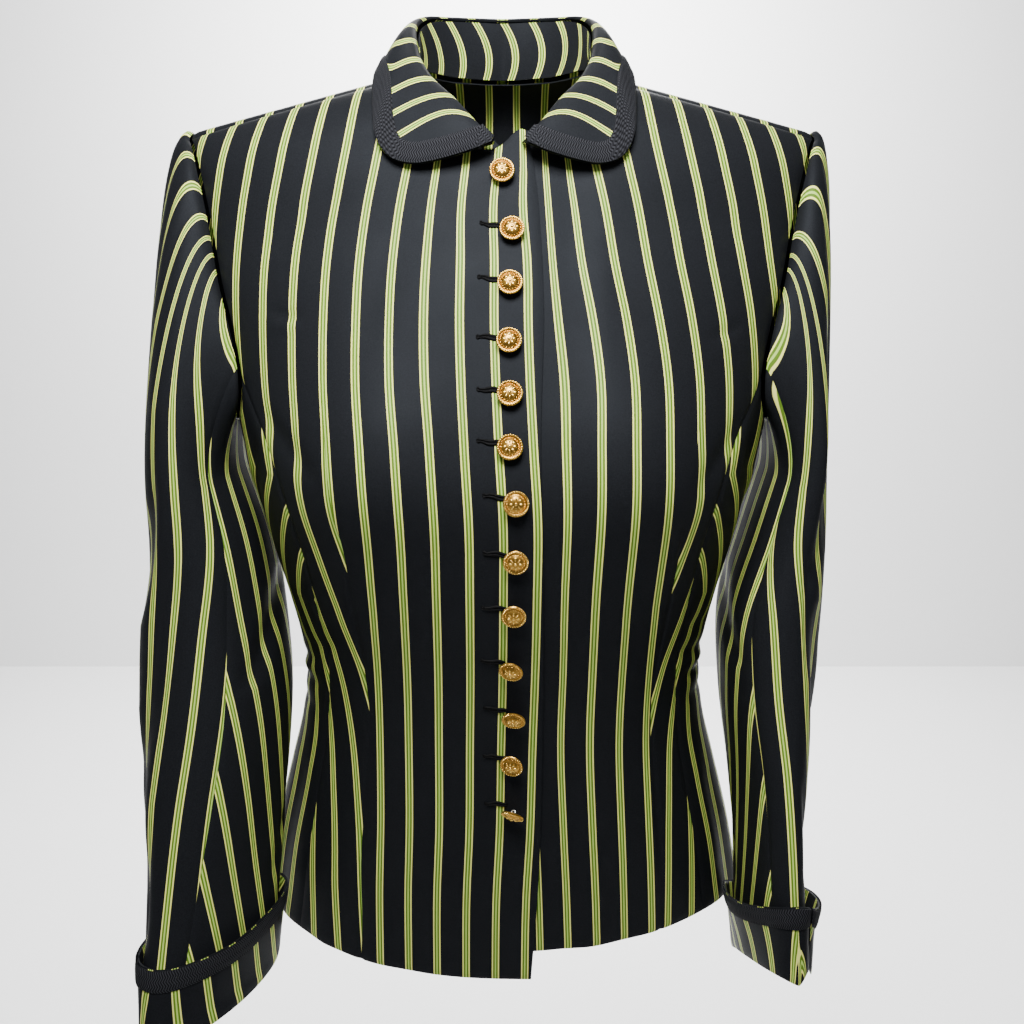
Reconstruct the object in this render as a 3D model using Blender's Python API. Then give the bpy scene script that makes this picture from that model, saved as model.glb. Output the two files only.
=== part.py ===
"""A tailored short jacket of striped cloth, worn and hollow, with a turned-down collar and turned-back cuffs.

The origin lies at the mid of the shoulder ridge, level with the sides of the neck, where the jacket hangs.
The front faces -Y, up is +Z and the wearer's left is +X. The tables are in millimetres and degrees.
"""

import math

import bmesh
import bpy
import numpy as np

# Driving sizes, in metres.
MM = 0.001
CLOTH = 1.6 * MM
SEAM_GAP = 0.3 * MM
LAP_STEP = 2.4 * MM
LAP_END = 64 * MM
LAP_SLOPE = 26 * MM
SHOULDER_ROLL = 35 * MM
SEAM_LEAN = math.radians(28)
NECK_SIDE = 62 * MM
NECK_SIDE_HEIGHT = 4 * MM
SHOULDER_TIP = 202 * MM
SHOULDER_TIP_HEIGHT = -31 * MM
BUST_OUT = 12 * MM
BUST_REACH = 88 * MM
BUST_HEIGHT = -228 * MM
BUST_SPREAD = 46 * MM
BUST_TALL = 58 * MM
BUTTON_RADIUS = 7.6 * MM
COLLAR_WALL = 2.0 * MM
BRAID_WALL = 1.2 * MM
FRONT_ROWS = (13, 10)
BACK_ROWS = (13, 9)
COLLAR_STEPS = 33
SLEEVE_ROWS = (5, 15)
BUTTON_SEGMENTS = 10
CUFF_WALL = 1.6 * MM
ARMHOLE_STEP = 1.2 * MM
STAND_STEP = 1.8 * MM
# How square a sleeve is round it, and how far its head sets off outward and forward, as shares of it.
SLEEVE_SQUARE = 2.25
HEAD_OUT = 0.12
CROWN_OUT = 0.20
HEAD_FORWARD = 0.35
CROWN_RISE = 4.4 * MM
CROWN_LIFT = 0.05
# Where the collar's roll crests between its fold and edge, and where its braid starts, as shares of its width.
CREST_OUT = 0.30
CREST_UP = 0.26
BRAID_START = 0.86
CUFF_STAND_OFF = 0.9 * MM
# Rough length of one degree round the side, to weigh turns against heights.
DEGREE = 2.6 * MM

# The torso: a row per level, with its half width, its depths and how square its two halves are.
SECTION_COLUMNS = ("height", "half_width", "front", "back", "front_square", "back_square")
SECTIONS = (
    (-600, 185, 97, 117, 2.35, 2.3),
    (-560, 177, 97, 112, 2.35, 2.3),
    (-510, 167, 98, 104, 2.4, 2.3),
    (-460, 154, 100, 96, 2.4, 2.35),
    (-425, 145, 103, 91, 2.4, 2.4),
    (-395, 141, 107, 89, 2.45, 2.4),
    (-365, 142, 113, 90, 2.5, 2.4),
    (-330, 148, 121, 94, 2.6, 2.4),
    (-290, 158, 128, 101, 2.6, 2.4),
    (-250, 168, 130, 108, 2.6, 2.4),
    (-215, 176, 121, 113, 2.55, 2.4),
    (-183, 183, 109, 115, 2.5, 2.4),
    (-125, 195, 85, 113, 2.45, 2.4),
    (-92, 199, 70, 108, 2.4, 2.4),
    (-61, 202, 58, 99, 2.4, 2.35),
    (-30, 204, 46, 88, 2.4, 2.3),
    (10, 205, 38, 78, 2.4, 2.3),
    (60, 205, 38, 78, 2.4, 2.3),
)

# The armhole: how far out each edge of it lies, a row per level.
ARMHOLE_COLUMNS = ("height", "front_reach", "back_reach")
ARMHOLE = (
    (-216, 175.2, 175.2),
    (-212, 171, 174),
    (-203, 166, 171.5),
    (-185, 163.5, 170),
    (-160, 167.5, 172),
    (-125, 177, 178),
    (-92, 184, 185),
    (-61, 191.5, 192),
    (-43, 197, 197.5),
    (-28, 202, 202),
)

# The seams down the body, as degrees from centre front to centre back, a row per share of the way up.
SEAM_COLUMNS = ("share", "side_front", "side_back")
SEAMS = (
    (0.0, 51, 127),
    (0.2, 51, 126),
    (0.42, 52, 125),
    (0.58, 48, 124),
    (0.75, 46, 121),
    (0.9, 51, 117),
    (1.0, 60, 113),
)
SIDE_FRONT_TOP = -184 * MM
SIDE_BACK_TOP = -170 * MM

# The lower edge: how far below the origin it runs, a row per degree of turn.
HEM_COLUMNS = ("turn", "right", "left")
HEM = (
    (-20, -592, -572),
    (0, -591, -572),
    (25, -585, -566),
    (50, -573, -559),
    (90, -566, -562),
    (130, -570, -569),
    (180, -574, -574),
)

# The front edges: the lapping edge and the hidden edge below it, as reach to the wearer's left.
FRONT_COLUMNS = ("height", "lap_edge", "under_edge")
FRONT_EDGES = (
    (-600, 19, -12),
    (-520, 24, -12),
    (-430, 26, -12),
    (-300, 25, -12),
    (-220, 23, -12),
    (-130, 25, -12),
    (-46, 20, -12),
)

# The neckline: how high it runs over the reach from the centre, front and back.
NECK_COLUMNS = ("reach", "front_height", "back_height")
NECKLINE = (
    (-30, -42, 11),
    (0, -46, 12),
    (20, -44, 13),
    (38, -34, 16),
    (50, -21, 22),
    (58, -7, 30),
    (62, 6.9, 41),
)

# The collar, one half from the front end to centre back: its fold and its outer edge.
COLLAR_COLUMNS = ("fold_x", "fold_y", "fold_z", "edge_x", "edge_y", "edge_z")
COLLAR = (
    (7, -58, -41, 8, -62, -44),
    (18, -53, -31, 23, -64, -49),
    (31, -43, -17, 41, -63, -54),
    (44, -30, -4, 57, -61, -56),
    (52, -17, 10, 71, -57, -51),
    (55, -4, 23, 79, -50, -36),
    (56, 9, 34, 81, -30, -8),
    (53, 23, 42, 81, -4, 3.5),
    (46, 35, 47, 76, 28, 3.5),
    (34, 44, 49, 61, 60, 0),
    (18, 50, 50, 33, 80, -4),
    (0, 52, 50, 0, 88, -6),
)
COLLAR_SHIFT = 5 * MM

# The sleeves: a row per ring below the head, with its centre, its halves, its turn and the tilt of its front.
SLEEVE_COLUMNS = ("height", "out", "forward", "half_depth", "half_width", "turn", "tilt")
SLEEVE_RIGHT = (
    (-252, 206, 14, 71, 30, 0, 0),
    (-290, 200, 20, 68, 36, 3, 0),
    (-345, 198, 32, 65, 42, 8, 0),
    (-400, 195, 49, 62, 44, 14, 0),
    (-450, 194, 68, 60, 40, 19, 0),
    (-500, 191, 91, 56.5, 31, 25, 0),
    (-545, 189, 115, 54, 23, 29, 0),
    (-566, 188, 125, 53, 20, 31, 0),
)
SLEEVE_LEFT = (
    (-252, 197, 8, 72, 19, 0, 0),
    (-290, 192, 13, 69, 25, 0, 2),
    (-345, 184, 26, 66, 31, 0, 8),
    (-400, 181, 44, 62, 28, 1, 14),
    (-450, 180, 64, 60, 21, 2, 20),
    (-500, 179, 84, 58, 17, 3, 26),
    (-535, 178, 98, 56, 16, 4, 29),
    (-557, 178, 106, 55, 17, 5, 30),
)
UPPER_SLEEVE = (-42, 212)

# The deep folds of the sleeves: where each starts and ends along and round, how wide and how deep it is.
FOLD_COLUMNS = ("share_from", "turn_from", "share_to", "turn_to", "width", "depth")
FOLDS_RIGHT = (
    (0.16, 20, 0.45, 58, 14, 4),
    (0.30, 10, 0.78, 40, 15, 4),
    (0.58, 60, 0.92, 18, 16, 4),
    (0.45, 150, 0.60, 200, 15, 4),
    (0.38, 250, 0.55, 300, 14, 3),
)
FOLDS_LEFT = (
    (0.10, 45, 0.40, 20, 14, 4),
    (0.42, 30, 0.70, 66, 14, 4),
    (0.62, 78, 0.90, 40, 15, 4),
    (0.45, 150, 0.60, 200, 15, 4),
    (0.38, 250, 0.55, 300, 14, 3),
)

# The turned-back cuffs: top and lower edge from the sleeve's end, and flare, a row per degree from the front.
CUFF_COLUMNS = ("turn", "top", "bottom", "flare")
CUFF_RIGHT = (
    (0, 33, -8, 2),
    (40, 32, -12, 1),
    (90, 31, -9, 1),
    (140, 31, -7, 3),
    (200, 31, -7, 5),
    (240, 32, -9, 5),
    (300, 33, -11, 4),
    (360, 33, -8, 2),
)
CUFF_LEFT = (
    (0, 32, -17, 5),
    (25, 31, -9, 6),
    (45, 30, -13, 8),
    (90, 30, -5, 11),
    (140, 31, -5, 7),
    (200, 31, -7, 5),
    (270, 31, -4, 12),
    (310, 32, -9, 8),
    (360, 32, -17, 5),
)
CUFF_OPENING = (22, 28)
# Shares of the cuff's height: its fold, its middle, where the braid starts and its top.
CUFF_SHARES = (0.0, 0.36, 0.72, 1.0)

# A button, from the foot of its shank to the top of its dome: distance from the axis and height.
BUTTON_COLUMNS = ("radius", "height")
BUTTON_PROFILE = (
    (1.9, 0.0),
    (1.7, 2.6),
    (6.6, 3.2),
    (7.6, 4.3),
    (7.0, 5.1),
    (5.9, 4.6),
    (5.2, 5.2),
    (3.4, 5.3),
    (2.0, 6.2),
)
# Where each button is sewn on the lapping front, how far it droops and turns to the wearer's left.
BUTTON_PLACES = ("height", "reach", "droop", "turn")
BUTTONS = (
    (-61.5, 0.5, 0, 0),
    (-95.9, 6.5, 0, 0),
    (-127.1, 5.3, 0, 0),
    (-159.8, 4.8, 0, 0),
    (-189.3, 5.3, 0, 0),
    (-218.7, 5.4, 0, 0),
    (-249.5, 8.8, 0, 2),
    (-283.4, 8.8, 6, 6),
    (-317.9, 7.7, 12, 12),
    (-355.3, 6.5, 10, 5),
    (-390.5, 7.8, 22, 8),
    (-425.2, 7.1, 34, 12),
    (-459.4, 7.8, 52, 14),
)


def column(table, names, name, scale=1.0):
    """One named column of a table."""
    place = names.index(name)
    return np.array([row[place] * scale for row in table], dtype=float)


def smooth(at, known, values):
    """A smooth curve through the known values."""
    at = np.clip(np.asarray(at, dtype=float), known[0], known[-1])
    slopes = np.gradient(values, known)
    index = np.clip(np.searchsorted(known, at, side="right") - 1, 0, len(known) - 2)
    span = known[index + 1] - known[index]
    share = (at - known[index]) / span
    start = values[index] * (1 + 2 * share) + slopes[index] * span * share
    end = values[index + 1] * (3 - 2 * share) + slopes[index + 1] * span * (share - 1)
    return start * (1 - share) ** 2 + end * share**2


def read(table, names, name, at, key_scale=MM, scale=MM):
    """A named column of a table, read smoothly at any value of its first column."""
    return smooth(at, column(table, names, names[0], key_scale), column(table, names, name, scale))


def section(name, height, scale=MM):
    return read(SECTIONS, SECTION_COLUMNS, name, height, MM, scale)


def ridge_height(reach):
    """Height of the shoulder ridge over its reach from the centre."""
    slope = (SHOULDER_TIP_HEIGHT - NECK_SIDE_HEIGHT) / (SHOULDER_TIP - NECK_SIDE)
    return NECK_SIDE_HEIGHT + slope * (np.abs(reach) - NECK_SIDE)


def turn_at(reach, height, back=False):
    """The turn, in degrees, at which the section of this height has this reach."""
    square = section("back_square" if back else "front_square", height, 1.0)
    share = np.clip(np.abs(reach) / section("half_width", height), 0, 1)
    turn = np.degrees(np.arcsin(share ** (square / 2))) * np.sign(reach)
    return 180 - turn if back else turn


def skin(turn, height):
    """The outer face of the torso at a turn round it and an unrolled height."""
    turn, height = np.broadcast_arrays(np.asarray(turn, dtype=float), np.asarray(height, dtype=float))
    back = turn > 90
    square = np.where(back, section("back_square", height, 1.0), section("front_square", height, 1.0))
    wide = section("half_width", height)
    sine = np.sin(np.radians(turn))
    reach = wide * np.sign(sine) * np.abs(sine) ** (2 / square)
    below = ridge_height(reach) - height
    lean = np.minimum(below / SHOULDER_ROLL - 1 + math.pi / 2, math.pi / 2)
    drop = np.where(below >= SHOULDER_ROLL, below, SHOULDER_ROLL * (1 - np.cos(lean)))
    front_square = section("front_square", height, 1.0)
    share = np.clip(np.abs(reach) / wide, 0, 1)
    own_depth = np.where(back, section("back", height), section("front", height))
    own_depth = own_depth * np.abs(np.cos(np.radians(turn))) ** (2 / square)
    front_depth = section("front", height) * (1 - share**front_square) ** (1 / front_square)
    over = back & (lean < 0)
    depth = np.where(over, front_depth, own_depth) * np.sin(lean)
    level = ridge_height(reach) - drop
    bust = BUST_OUT * np.exp(
        -(((np.abs(reach) - BUST_REACH) / BUST_SPREAD) ** 2) - ((level - BUST_HEIGHT) / BUST_TALL) ** 2
    )
    across = np.where(back, depth, -depth - bust)
    return np.stack([reach, across, level], axis=-1)


def grid_normals(points):
    """Unit normals of a grid of points, right-handed along its rows and columns."""
    along = np.gradient(points, axis=0)
    across = np.gradient(points, axis=1)
    normal = np.cross(along, across)
    return normal / np.linalg.norm(normal, axis=-1, keepdims=True)


def pull_in(points):
    """The grid with its edges drawn in by half a seam gap."""
    moved = points.copy()
    pairs = (
        (np.s_[0, :], np.s_[1, :]),
        (np.s_[-1, :], np.s_[-2, :]),
        (np.s_[:, 0], np.s_[:, 1]),
        (np.s_[:, -1], np.s_[:, -2]),
    )
    for edge, inner in pairs:
        step = points[inner] - points[edge]
        moved[edge] += step / np.linalg.norm(step, axis=-1, keepdims=True) * SEAM_GAP / 2
    return moved


def wall(name, outer, inner):
    """A closed solid between two grids of points."""
    rows, columns = outer.shape[:2]
    mesh = bmesh.new()
    over, under = ([[mesh.verts.new(point) for point in row] for row in grid] for grid in (outer, inner))
    for low in range(rows - 1):
        for near in range(columns - 1):
            for layer in (over, under):
                mesh.faces.new(
                    [layer[low][near], layer[low + 1][near], layer[low + 1][near + 1], layer[low][near + 1]]
                )
    for row in (0, rows - 1):
        for near in range(columns - 1):
            mesh.faces.new([over[row][near], over[row][near + 1], under[row][near + 1], under[row][near]])
    for place in (0, columns - 1):
        for low in range(rows - 1):
            mesh.faces.new([over[low][place], over[low + 1][place], under[low + 1][place], under[low][place]])
    return finish(name, mesh, 40)


def finish(name, mesh, sharp):
    """The mesh as a named object, faces out and softly shaded."""
    bmesh.ops.recalc_face_normals(mesh, faces=mesh.faces)
    bmesh.ops.triangulate(mesh, faces=mesh.faces)
    data = bpy.data.meshes.new(name)
    mesh.to_mesh(data)
    mesh.free()
    data.shade_smooth()
    data.set_sharp_from_angle(angle=math.radians(sharp))
    piece = bpy.data.objects.new(name, data)
    bpy.context.scene.collection.objects.link(piece)
    return piece


def skin_normal(turn, height):
    """The direction the torso's outer face looks in at a turn and an unrolled height."""
    around = skin(turn + 0.4, height) - skin(turn - 0.4, height)
    up = skin(turn, height + MM) - skin(turn, height - MM)
    normal = np.cross(around, up)
    return normal / np.linalg.norm(normal, axis=-1, keepdims=True)


def cloth_wall(name, grid, mirror, drop=None):
    """A cloth panel from its turns and heights: they give the outer face and the wall lies inside it."""
    turn, height = grid
    points = skin(turn, height)
    normal = skin_normal(turn, height)
    if drop is not None:
        points = points - normal * drop(points)[..., None]
    side = np.array([-1 if mirror else 1, 1, 1])
    return wall(name, pull_in(points) * side, pull_in(points - normal * CLOTH) * side)


def coons(bottom, top, left, right):
    """A grid filled in between four edges that share their corners."""
    rows, columns = len(left), len(bottom)
    up = np.linspace(0, 1, rows)[:, None, None]
    over = np.linspace(0, 1, columns)[None, :, None]
    ruled = (1 - up) * bottom[None] + up * top[None] + (1 - over) * left[:, None] + over * right[:, None]
    low = (1 - over) * bottom[0] + over * bottom[-1]
    high = (1 - over) * top[0] + over * top[-1]
    return ruled - (1 - up) * low - up * high


def even(points, count):
    """Points evenly spaced along a curve."""
    steps = np.linalg.norm(np.diff(points, axis=0), axis=1)
    run = np.concatenate([[0], np.cumsum(steps)])
    at = np.linspace(0, run[-1], count)
    return np.stack([np.interp(at, run, points[:, axis]) for axis in range(points.shape[1])], axis=1)


def armhole_edge(back, bottom, count):
    """The armhole from a height up to the shoulder tip, as reach and height."""
    top = ARMHOLE[-1][0] * MM
    heights = np.linspace(bottom, top, 60)
    reach = read(ARMHOLE, ARMHOLE_COLUMNS, "back_reach" if back else "front_reach", heights)
    if back:
        lift = back_shoulder_height(SHOULDER_TIP) - top
        heights = heights + lift * np.clip((heights + 60 * MM) / (top + 60 * MM), 0, 1) ** 2
    return even(np.stack([reach, heights], axis=1), count)


def front_shoulder_height(reach):
    """Unrolled height of the shoulder seam on the front panel."""
    return ridge_height(reach) - SHOULDER_ROLL * (1 - math.pi / 2 + SEAM_LEAN)


def back_shoulder_height(reach):
    """Unrolled height of the same seam on the back panel, which comes over the ridge."""
    return ridge_height(reach) - SHOULDER_ROLL * (1 - math.pi / 2 - SEAM_LEAN)


def seam_turn(name, share):
    return read(SEAMS, SEAM_COLUMNS, name, share, 1.0, 1.0)


def hem_height(turn, hand):
    return read(HEM, HEM_COLUMNS, hand, turn, 1.0, MM)


def body_rows(hand, left_turn, right_turn, left_top, right_top, rows, columns):
    """Turn and height of the grid between two seams, from the hem up."""
    share = np.linspace(0, 1, rows)[:, None]
    over = np.linspace(0, 1, columns)[None, :]
    turn = left_turn[:, None] * (1 - over) + right_turn[:, None] * over
    top = left_top * (1 - over) + right_top * over
    height = hem_height(turn[0], hand)[None, :] * (1 - share) + top * share
    return turn, height


def edge_reach(edge_name, height):
    """Reach of a front edge, measured from the centre toward its own side."""
    away = -1 if edge_name == "lap_edge" else 1
    return away * read(FRONT_EDGES, FRONT_COLUMNS, edge_name, height)


def reach_of(turn, height, back=False):
    """How far out the section of this height lies at this turn."""
    square = section("back_square" if back else "front_square", height, 1.0)
    sine = np.sin(np.radians(turn))
    return section("half_width", height) * np.sign(sine) * np.abs(sine) ** (2 / square)


def front_grid(edge_name, rows, columns):
    """Turn and height of a front panel, from its front edge to its side seam, armhole and shoulder."""
    hand = "right" if edge_name == "lap_edge" else "left"
    lower, upper = rows
    share = np.linspace(0, 1, lower)
    heights = hem_height(0, hand) * (1 - share) + SIDE_FRONT_TOP * share
    left = turn_at(edge_reach(edge_name, heights), heights)
    right = seam_turn("side_front", share)
    turn, height = body_rows(hand, left, right, SIDE_FRONT_TOP, SIDE_FRONT_TOP, lower, columns)
    over = np.linspace(edge_reach(edge_name, NECKLINE[1][1] * MM), NECK_SIDE, 24)
    neck = np.stack([over, read(NECKLINE, NECK_COLUMNS, "front_height", over)], axis=1)
    shoulder = np.linspace(NECK_SIDE, SHOULDER_TIP, 12)[1:]
    shoulder = np.stack([shoulder, front_shoulder_height(shoulder)], axis=1)
    top = even(np.concatenate([neck, shoulder]), columns)
    corner = np.argmin(np.abs(top[:, 0] - NECK_SIDE))
    top[corner] = neck[-1]
    right = armhole_edge(False, SIDE_FRONT_TOP, upper)
    right[0, 0] = reach_of(turn[-1, -1], SIDE_FRONT_TOP)
    top[-1] = right[-1]
    bottom = np.stack([reach_of(turn[-1], height[-1]), height[-1]], axis=1)
    edge_heights = np.linspace(SIDE_FRONT_TOP, top[0, 1], upper)
    left_edge = np.stack([edge_reach(edge_name, edge_heights), edge_heights], axis=1)
    left_edge[0], left_edge[-1] = bottom[0], top[0]
    patch = coons(bottom, top, left_edge, right)[1:]
    turn = np.concatenate([turn, turn_at(patch[..., 0], patch[..., 1])])
    height = np.concatenate([height, patch[..., 1]])
    return turn, height


def back_grid(hand, rows, columns):
    """Turn and height of a back panel, from centre back to its side-back seam, armhole and shoulder."""
    lower, upper = rows
    share = np.linspace(0, 1, lower)
    middle = np.full(lower, 180.0)
    right = seam_turn("side_back", share)
    turn, height = body_rows(hand, middle, right, SIDE_BACK_TOP, SIDE_BACK_TOP, lower, columns)
    over = np.linspace(0, NECK_SIDE, 24)
    neck = np.stack([over, read(NECKLINE, NECK_COLUMNS, "back_height", over)], axis=1)
    shoulder = np.linspace(NECK_SIDE, SHOULDER_TIP, 12)
    shoulder = np.stack([shoulder, back_shoulder_height(shoulder)], axis=1)
    top = even(np.concatenate([neck[:-1], shoulder]), columns)
    corner = np.argmin(np.abs(top[:, 0] - NECK_SIDE))
    top[corner] = shoulder[0]
    right = armhole_edge(True, SIDE_BACK_TOP, upper)
    top[-1] = right[-1]
    bottom = np.stack([np.abs(reach_of(180 - turn[-1], height[-1], back=True)), height[-1]], axis=1)
    right[0] = bottom[-1]
    left = np.stack([np.zeros(upper), np.linspace(SIDE_BACK_TOP, top[0, 1], upper)], axis=1)
    patch = coons(bottom, top, left, right)[1:]
    reach = np.maximum(patch[..., 0], 0)
    turn = np.concatenate([turn, turn_at(reach, patch[..., 1], back=True)])
    height = np.concatenate([height, patch[..., 1]])
    return turn, height


def side_grid(hand, rows, columns):
    """Turn and height of a side panel, up to the bottom of the armhole."""
    share = np.linspace(0, 1, rows)
    left = seam_turn("side_front", share)
    right = seam_turn("side_back", share)
    heights = np.linspace(SIDE_FRONT_TOP, ARMHOLE[0][0] * MM, 20)
    front = turn_at(read(ARMHOLE, ARMHOLE_COLUMNS, "front_reach", heights), heights)
    front[0], front[-1] = left[-1], 90
    rise = np.linspace(ARMHOLE[0][0] * MM, SIDE_BACK_TOP, 20)
    back = turn_at(read(ARMHOLE, ARMHOLE_COLUMNS, "back_reach", rise), rise, back=True)
    back[0], back[-1] = 90, right[-1]
    rising = np.stack([back * DEGREE, rise], axis=1)[1:]
    top = even(np.concatenate([np.stack([front * DEGREE, heights], axis=1), rising]), columns)
    bottom_turn = np.linspace(left[0], right[0], columns)
    bottom = np.stack([bottom_turn * DEGREE, hem_height(bottom_turn, hand)], axis=1)
    left_heights = hem_height(left[0], hand) * (1 - share) + SIDE_FRONT_TOP * share
    right_heights = hem_height(right[0], hand) * (1 - share) + SIDE_BACK_TOP * share
    left_edge = np.stack([left * DEGREE, left_heights], axis=1)
    right_edge = np.stack([right * DEGREE, right_heights], axis=1)
    patch = coons(bottom, top, left_edge, right_edge)
    return patch[..., 0] / DEGREE, patch[..., 1]


def lap_inset(points):
    """The under front drops below the lapping one near the front edge, and comes back out past it."""
    share = np.clip((LAP_END - points[..., 0]) / LAP_SLOPE, 0, 1)
    return LAP_STEP * share * share * (3 - 2 * share)


def make_body():
    cloth_wall("front_right", front_grid("lap_edge", FRONT_ROWS, 15), mirror=True)
    cloth_wall("front_left", front_grid("under_edge", FRONT_ROWS, 14), mirror=False, drop=lap_inset)
    for mirror, hand in ((True, "right"), (False, "left")):
        cloth_wall("side_" + hand, side_grid(hand, FRONT_ROWS[0], 9), mirror)
        cloth_wall("back_" + hand, back_grid(hand, BACK_ROWS, 12), mirror)


def armhole_loop(turns):
    """The armhole edge as the sleeve meets it: 0 in front, 90 the shoulder tip, 180 behind, 270 below."""
    heights = np.linspace(-28 * MM, -216 * MM, 60)
    front = skin(turn_at(read(ARMHOLE, ARMHOLE_COLUMNS, "front_reach", heights), heights), heights)
    edge = armhole_edge(True, -216 * MM, 60)
    rear = skin(turn_at(edge[:, 0], edge[:, 1], back=True), edge[:, 1])
    middle = 30
    quarters = (
        even(front[: middle + 1][::-1], 31),
        even(rear[middle:][::-1], 31),
        even(rear[: middle + 1][::-1], 31),
        even(front[middle:][::-1], 31),
    )
    loop = np.concatenate([quarter[:-1] for quarter in quarters])
    at = np.mod(turns, 360) / 3
    known = np.arange(len(loop) + 1)
    closed = np.concatenate([loop, loop[:1]])
    return np.stack([np.interp(at, known, closed[:, axis]) for axis in range(3)], axis=-1)


def sleeve_point(table, share, turn):
    """The outer face of a sleeve, below its head, at a share of its length and a turn round it."""
    heights = column(table, SLEEVE_COLUMNS, "height", MM)
    at = heights[0] + (heights[-1] - heights[0]) * share
    up = -heights

    def value(name, scale=MM):
        return smooth(-at, up, column(table, SLEEVE_COLUMNS, name, scale))

    angle = np.radians(turn)
    bend = 2 / SLEEVE_SQUARE
    deep = value("half_depth") * np.sign(np.cos(angle)) * np.abs(np.cos(angle)) ** bend
    wide = value("half_width") * np.sign(np.sin(angle)) * np.abs(np.sin(angle)) ** bend
    swing = np.radians(value("turn", 1.0))
    tilt = np.radians(value("tilt", 1.0))
    ahead = deep * np.cos(tilt)
    reach = value("out") + ahead * np.sin(swing) + wide * np.cos(swing)
    across = -value("forward") - ahead * np.cos(swing) + wide * np.sin(swing)
    return np.stack([reach, across, at + deep * np.sin(tilt)], axis=-1)


def fold_depth(folds, share, turn):
    """How far the folds of a sleeve draw its face in, at a share of the whole sleeve and a turn."""
    total = np.zeros(np.broadcast(share, turn).shape)
    for share_from, turn_from, share_to, turn_to, width, depth in folds:
        along = (share - share_from) / (share_to - share_from)
        line = turn_from + (turn_to - turn_from) * np.clip(along, 0, 1)
        off = (np.mod(turn - line + 180, 360) - 180) / width
        ends = np.clip(1 - np.abs(2 * along - 1) ** 3, 0, 1) * (np.abs(2 * along - 1) <= 1)
        total += depth * MM * np.exp(-(off**2)) * ends
    return total


def sleeve_grid(table, folds, turns, head_rows, rows):
    """A sleeve from its armhole seam to its end, head and folds in it."""
    turns = np.asarray(turns, dtype=float)
    start = armhole_loop(turns)
    start = start + np.array([ARMHOLE_STEP, 0, 0])
    end = sleeve_point(table, 0.0, turns)
    fall = sleeve_point(table, 0.04, turns) - end
    fall = fall / np.linalg.norm(fall, axis=-1, keepdims=True)
    gap = np.linalg.norm(end - start, axis=-1, keepdims=True)
    crown = np.clip(np.sin(np.radians(turns)), 0, 1)[:, None]
    ahead = np.cos(np.radians(turns))[:, None]
    lead = np.concatenate(
        [(HEAD_OUT + CROWN_OUT * crown) * gap, -HEAD_FORWARD * ahead * gap, (CROWN_LIFT + CROWN_RISE) * crown],
        axis=1,
    )
    share = np.linspace(0, 1, head_rows)[:, None, None]
    head = (
        start * (2 * share**3 - 3 * share**2 + 1)
        + lead * (share**3 - 2 * share**2 + share)
        + end * (3 * share**2 - 2 * share**3)
        + fall * gap * (share**3 - share**2)
    )
    below = np.linspace(0, 1, rows)[1:, None]
    arm = sleeve_point(table, below, turns[None, :])
    grid = np.concatenate([head, arm])
    along = np.linspace(0, 1, len(grid))[:, None]
    normal = grid_normals(grid)
    centre = np.mean(grid, axis=1, keepdims=True)
    normal = normal * np.sign(np.sum(normal * (grid - centre), axis=-1, keepdims=True))
    return grid - normal * fold_depth(folds, along, turns[None, :])[..., None]


def sleeve_wall(name, table, folds, turns, mirror):
    """A sleeve panel, its wall inside its outer face."""
    before, grid, after = (sleeve_grid(table, folds, turns + step, *SLEEVE_ROWS) for step in (-2, 0, 2))
    normal = np.cross(np.gradient(grid, axis=0), after - before)
    normal = normal / np.linalg.norm(normal, axis=-1, keepdims=True)
    side = np.array([-1 if mirror else 1, 1, 1])
    return wall(name, pull_in(grid) * side, pull_in(grid - normal * CLOTH) * side)


def cuff_grid(table, cuff, turns, shares, lift):
    """A band of the turned-back cuff through some shares of its height."""
    turns = np.asarray(turns, dtype=float)
    share = np.array(shares)[:, None]
    top, bottom, flare = (
        read(cuff, CUFF_COLUMNS, name, np.mod(turns, 360), 1.0, MM)[None, :] for name in CUFF_COLUMNS[1:]
    )
    up = bottom * (1 - share) + top * share
    heights = column(table, SLEEVE_COLUMNS, "height", MM)
    length = heights[0] - heights[-1]
    base = sleeve_point(table, 1 - np.maximum(up, 0) / length, turns[None, :])
    low_ring = sleeve_point(table, 1.0, turns)
    centre = np.mean(low_ring, axis=0)
    out = base - centre
    out[..., 2] = 0
    out = out / np.linalg.norm(out, axis=-1, keepdims=True)
    axis = sleeve_point(table, 1 - 20 * MM / length, turns) - low_ring
    axis = np.mean(axis, axis=0)
    axis = axis / np.linalg.norm(axis)
    base = base + axis * np.minimum(up, 0)[..., None]
    swell = CUFF_WALL + CUFF_STAND_OFF + flare * share**1.3 + lift
    return base + out * swell[..., None], out


def make_sleeves():
    sides = (
        ("right", True, SLEEVE_RIGHT, FOLDS_RIGHT, CUFF_RIGHT),
        ("left", False, SLEEVE_LEFT, FOLDS_LEFT, CUFF_LEFT),
    )
    for hand, mirror, table, folds, cuff in sides:
        start, stop = UPPER_SLEEVE
        sleeve_wall("sleeve_upper_" + hand, table, folds, np.linspace(start, stop, 15), mirror)
        sleeve_wall("sleeve_under_" + hand, table, folds, np.linspace(stop, start + 360, 7), mirror)
        side = np.array([-1 if mirror else 1, 1, 1])
        turns = np.linspace(CUFF_OPENING[1], CUFF_OPENING[0] + 360, 26)
        outer, out = cuff_grid(table, cuff, turns, CUFF_SHARES, 0)
        wall("cuff_" + hand, outer * side, (outer - out * CUFF_WALL) * side)
        outer, out = cuff_grid(table, cuff, turns, CUFF_SHARES[2:], SEAM_GAP + BRAID_WALL)
        wall("cuff_braid_" + hand, outer * side, (outer - out * BRAID_WALL) * side)


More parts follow.
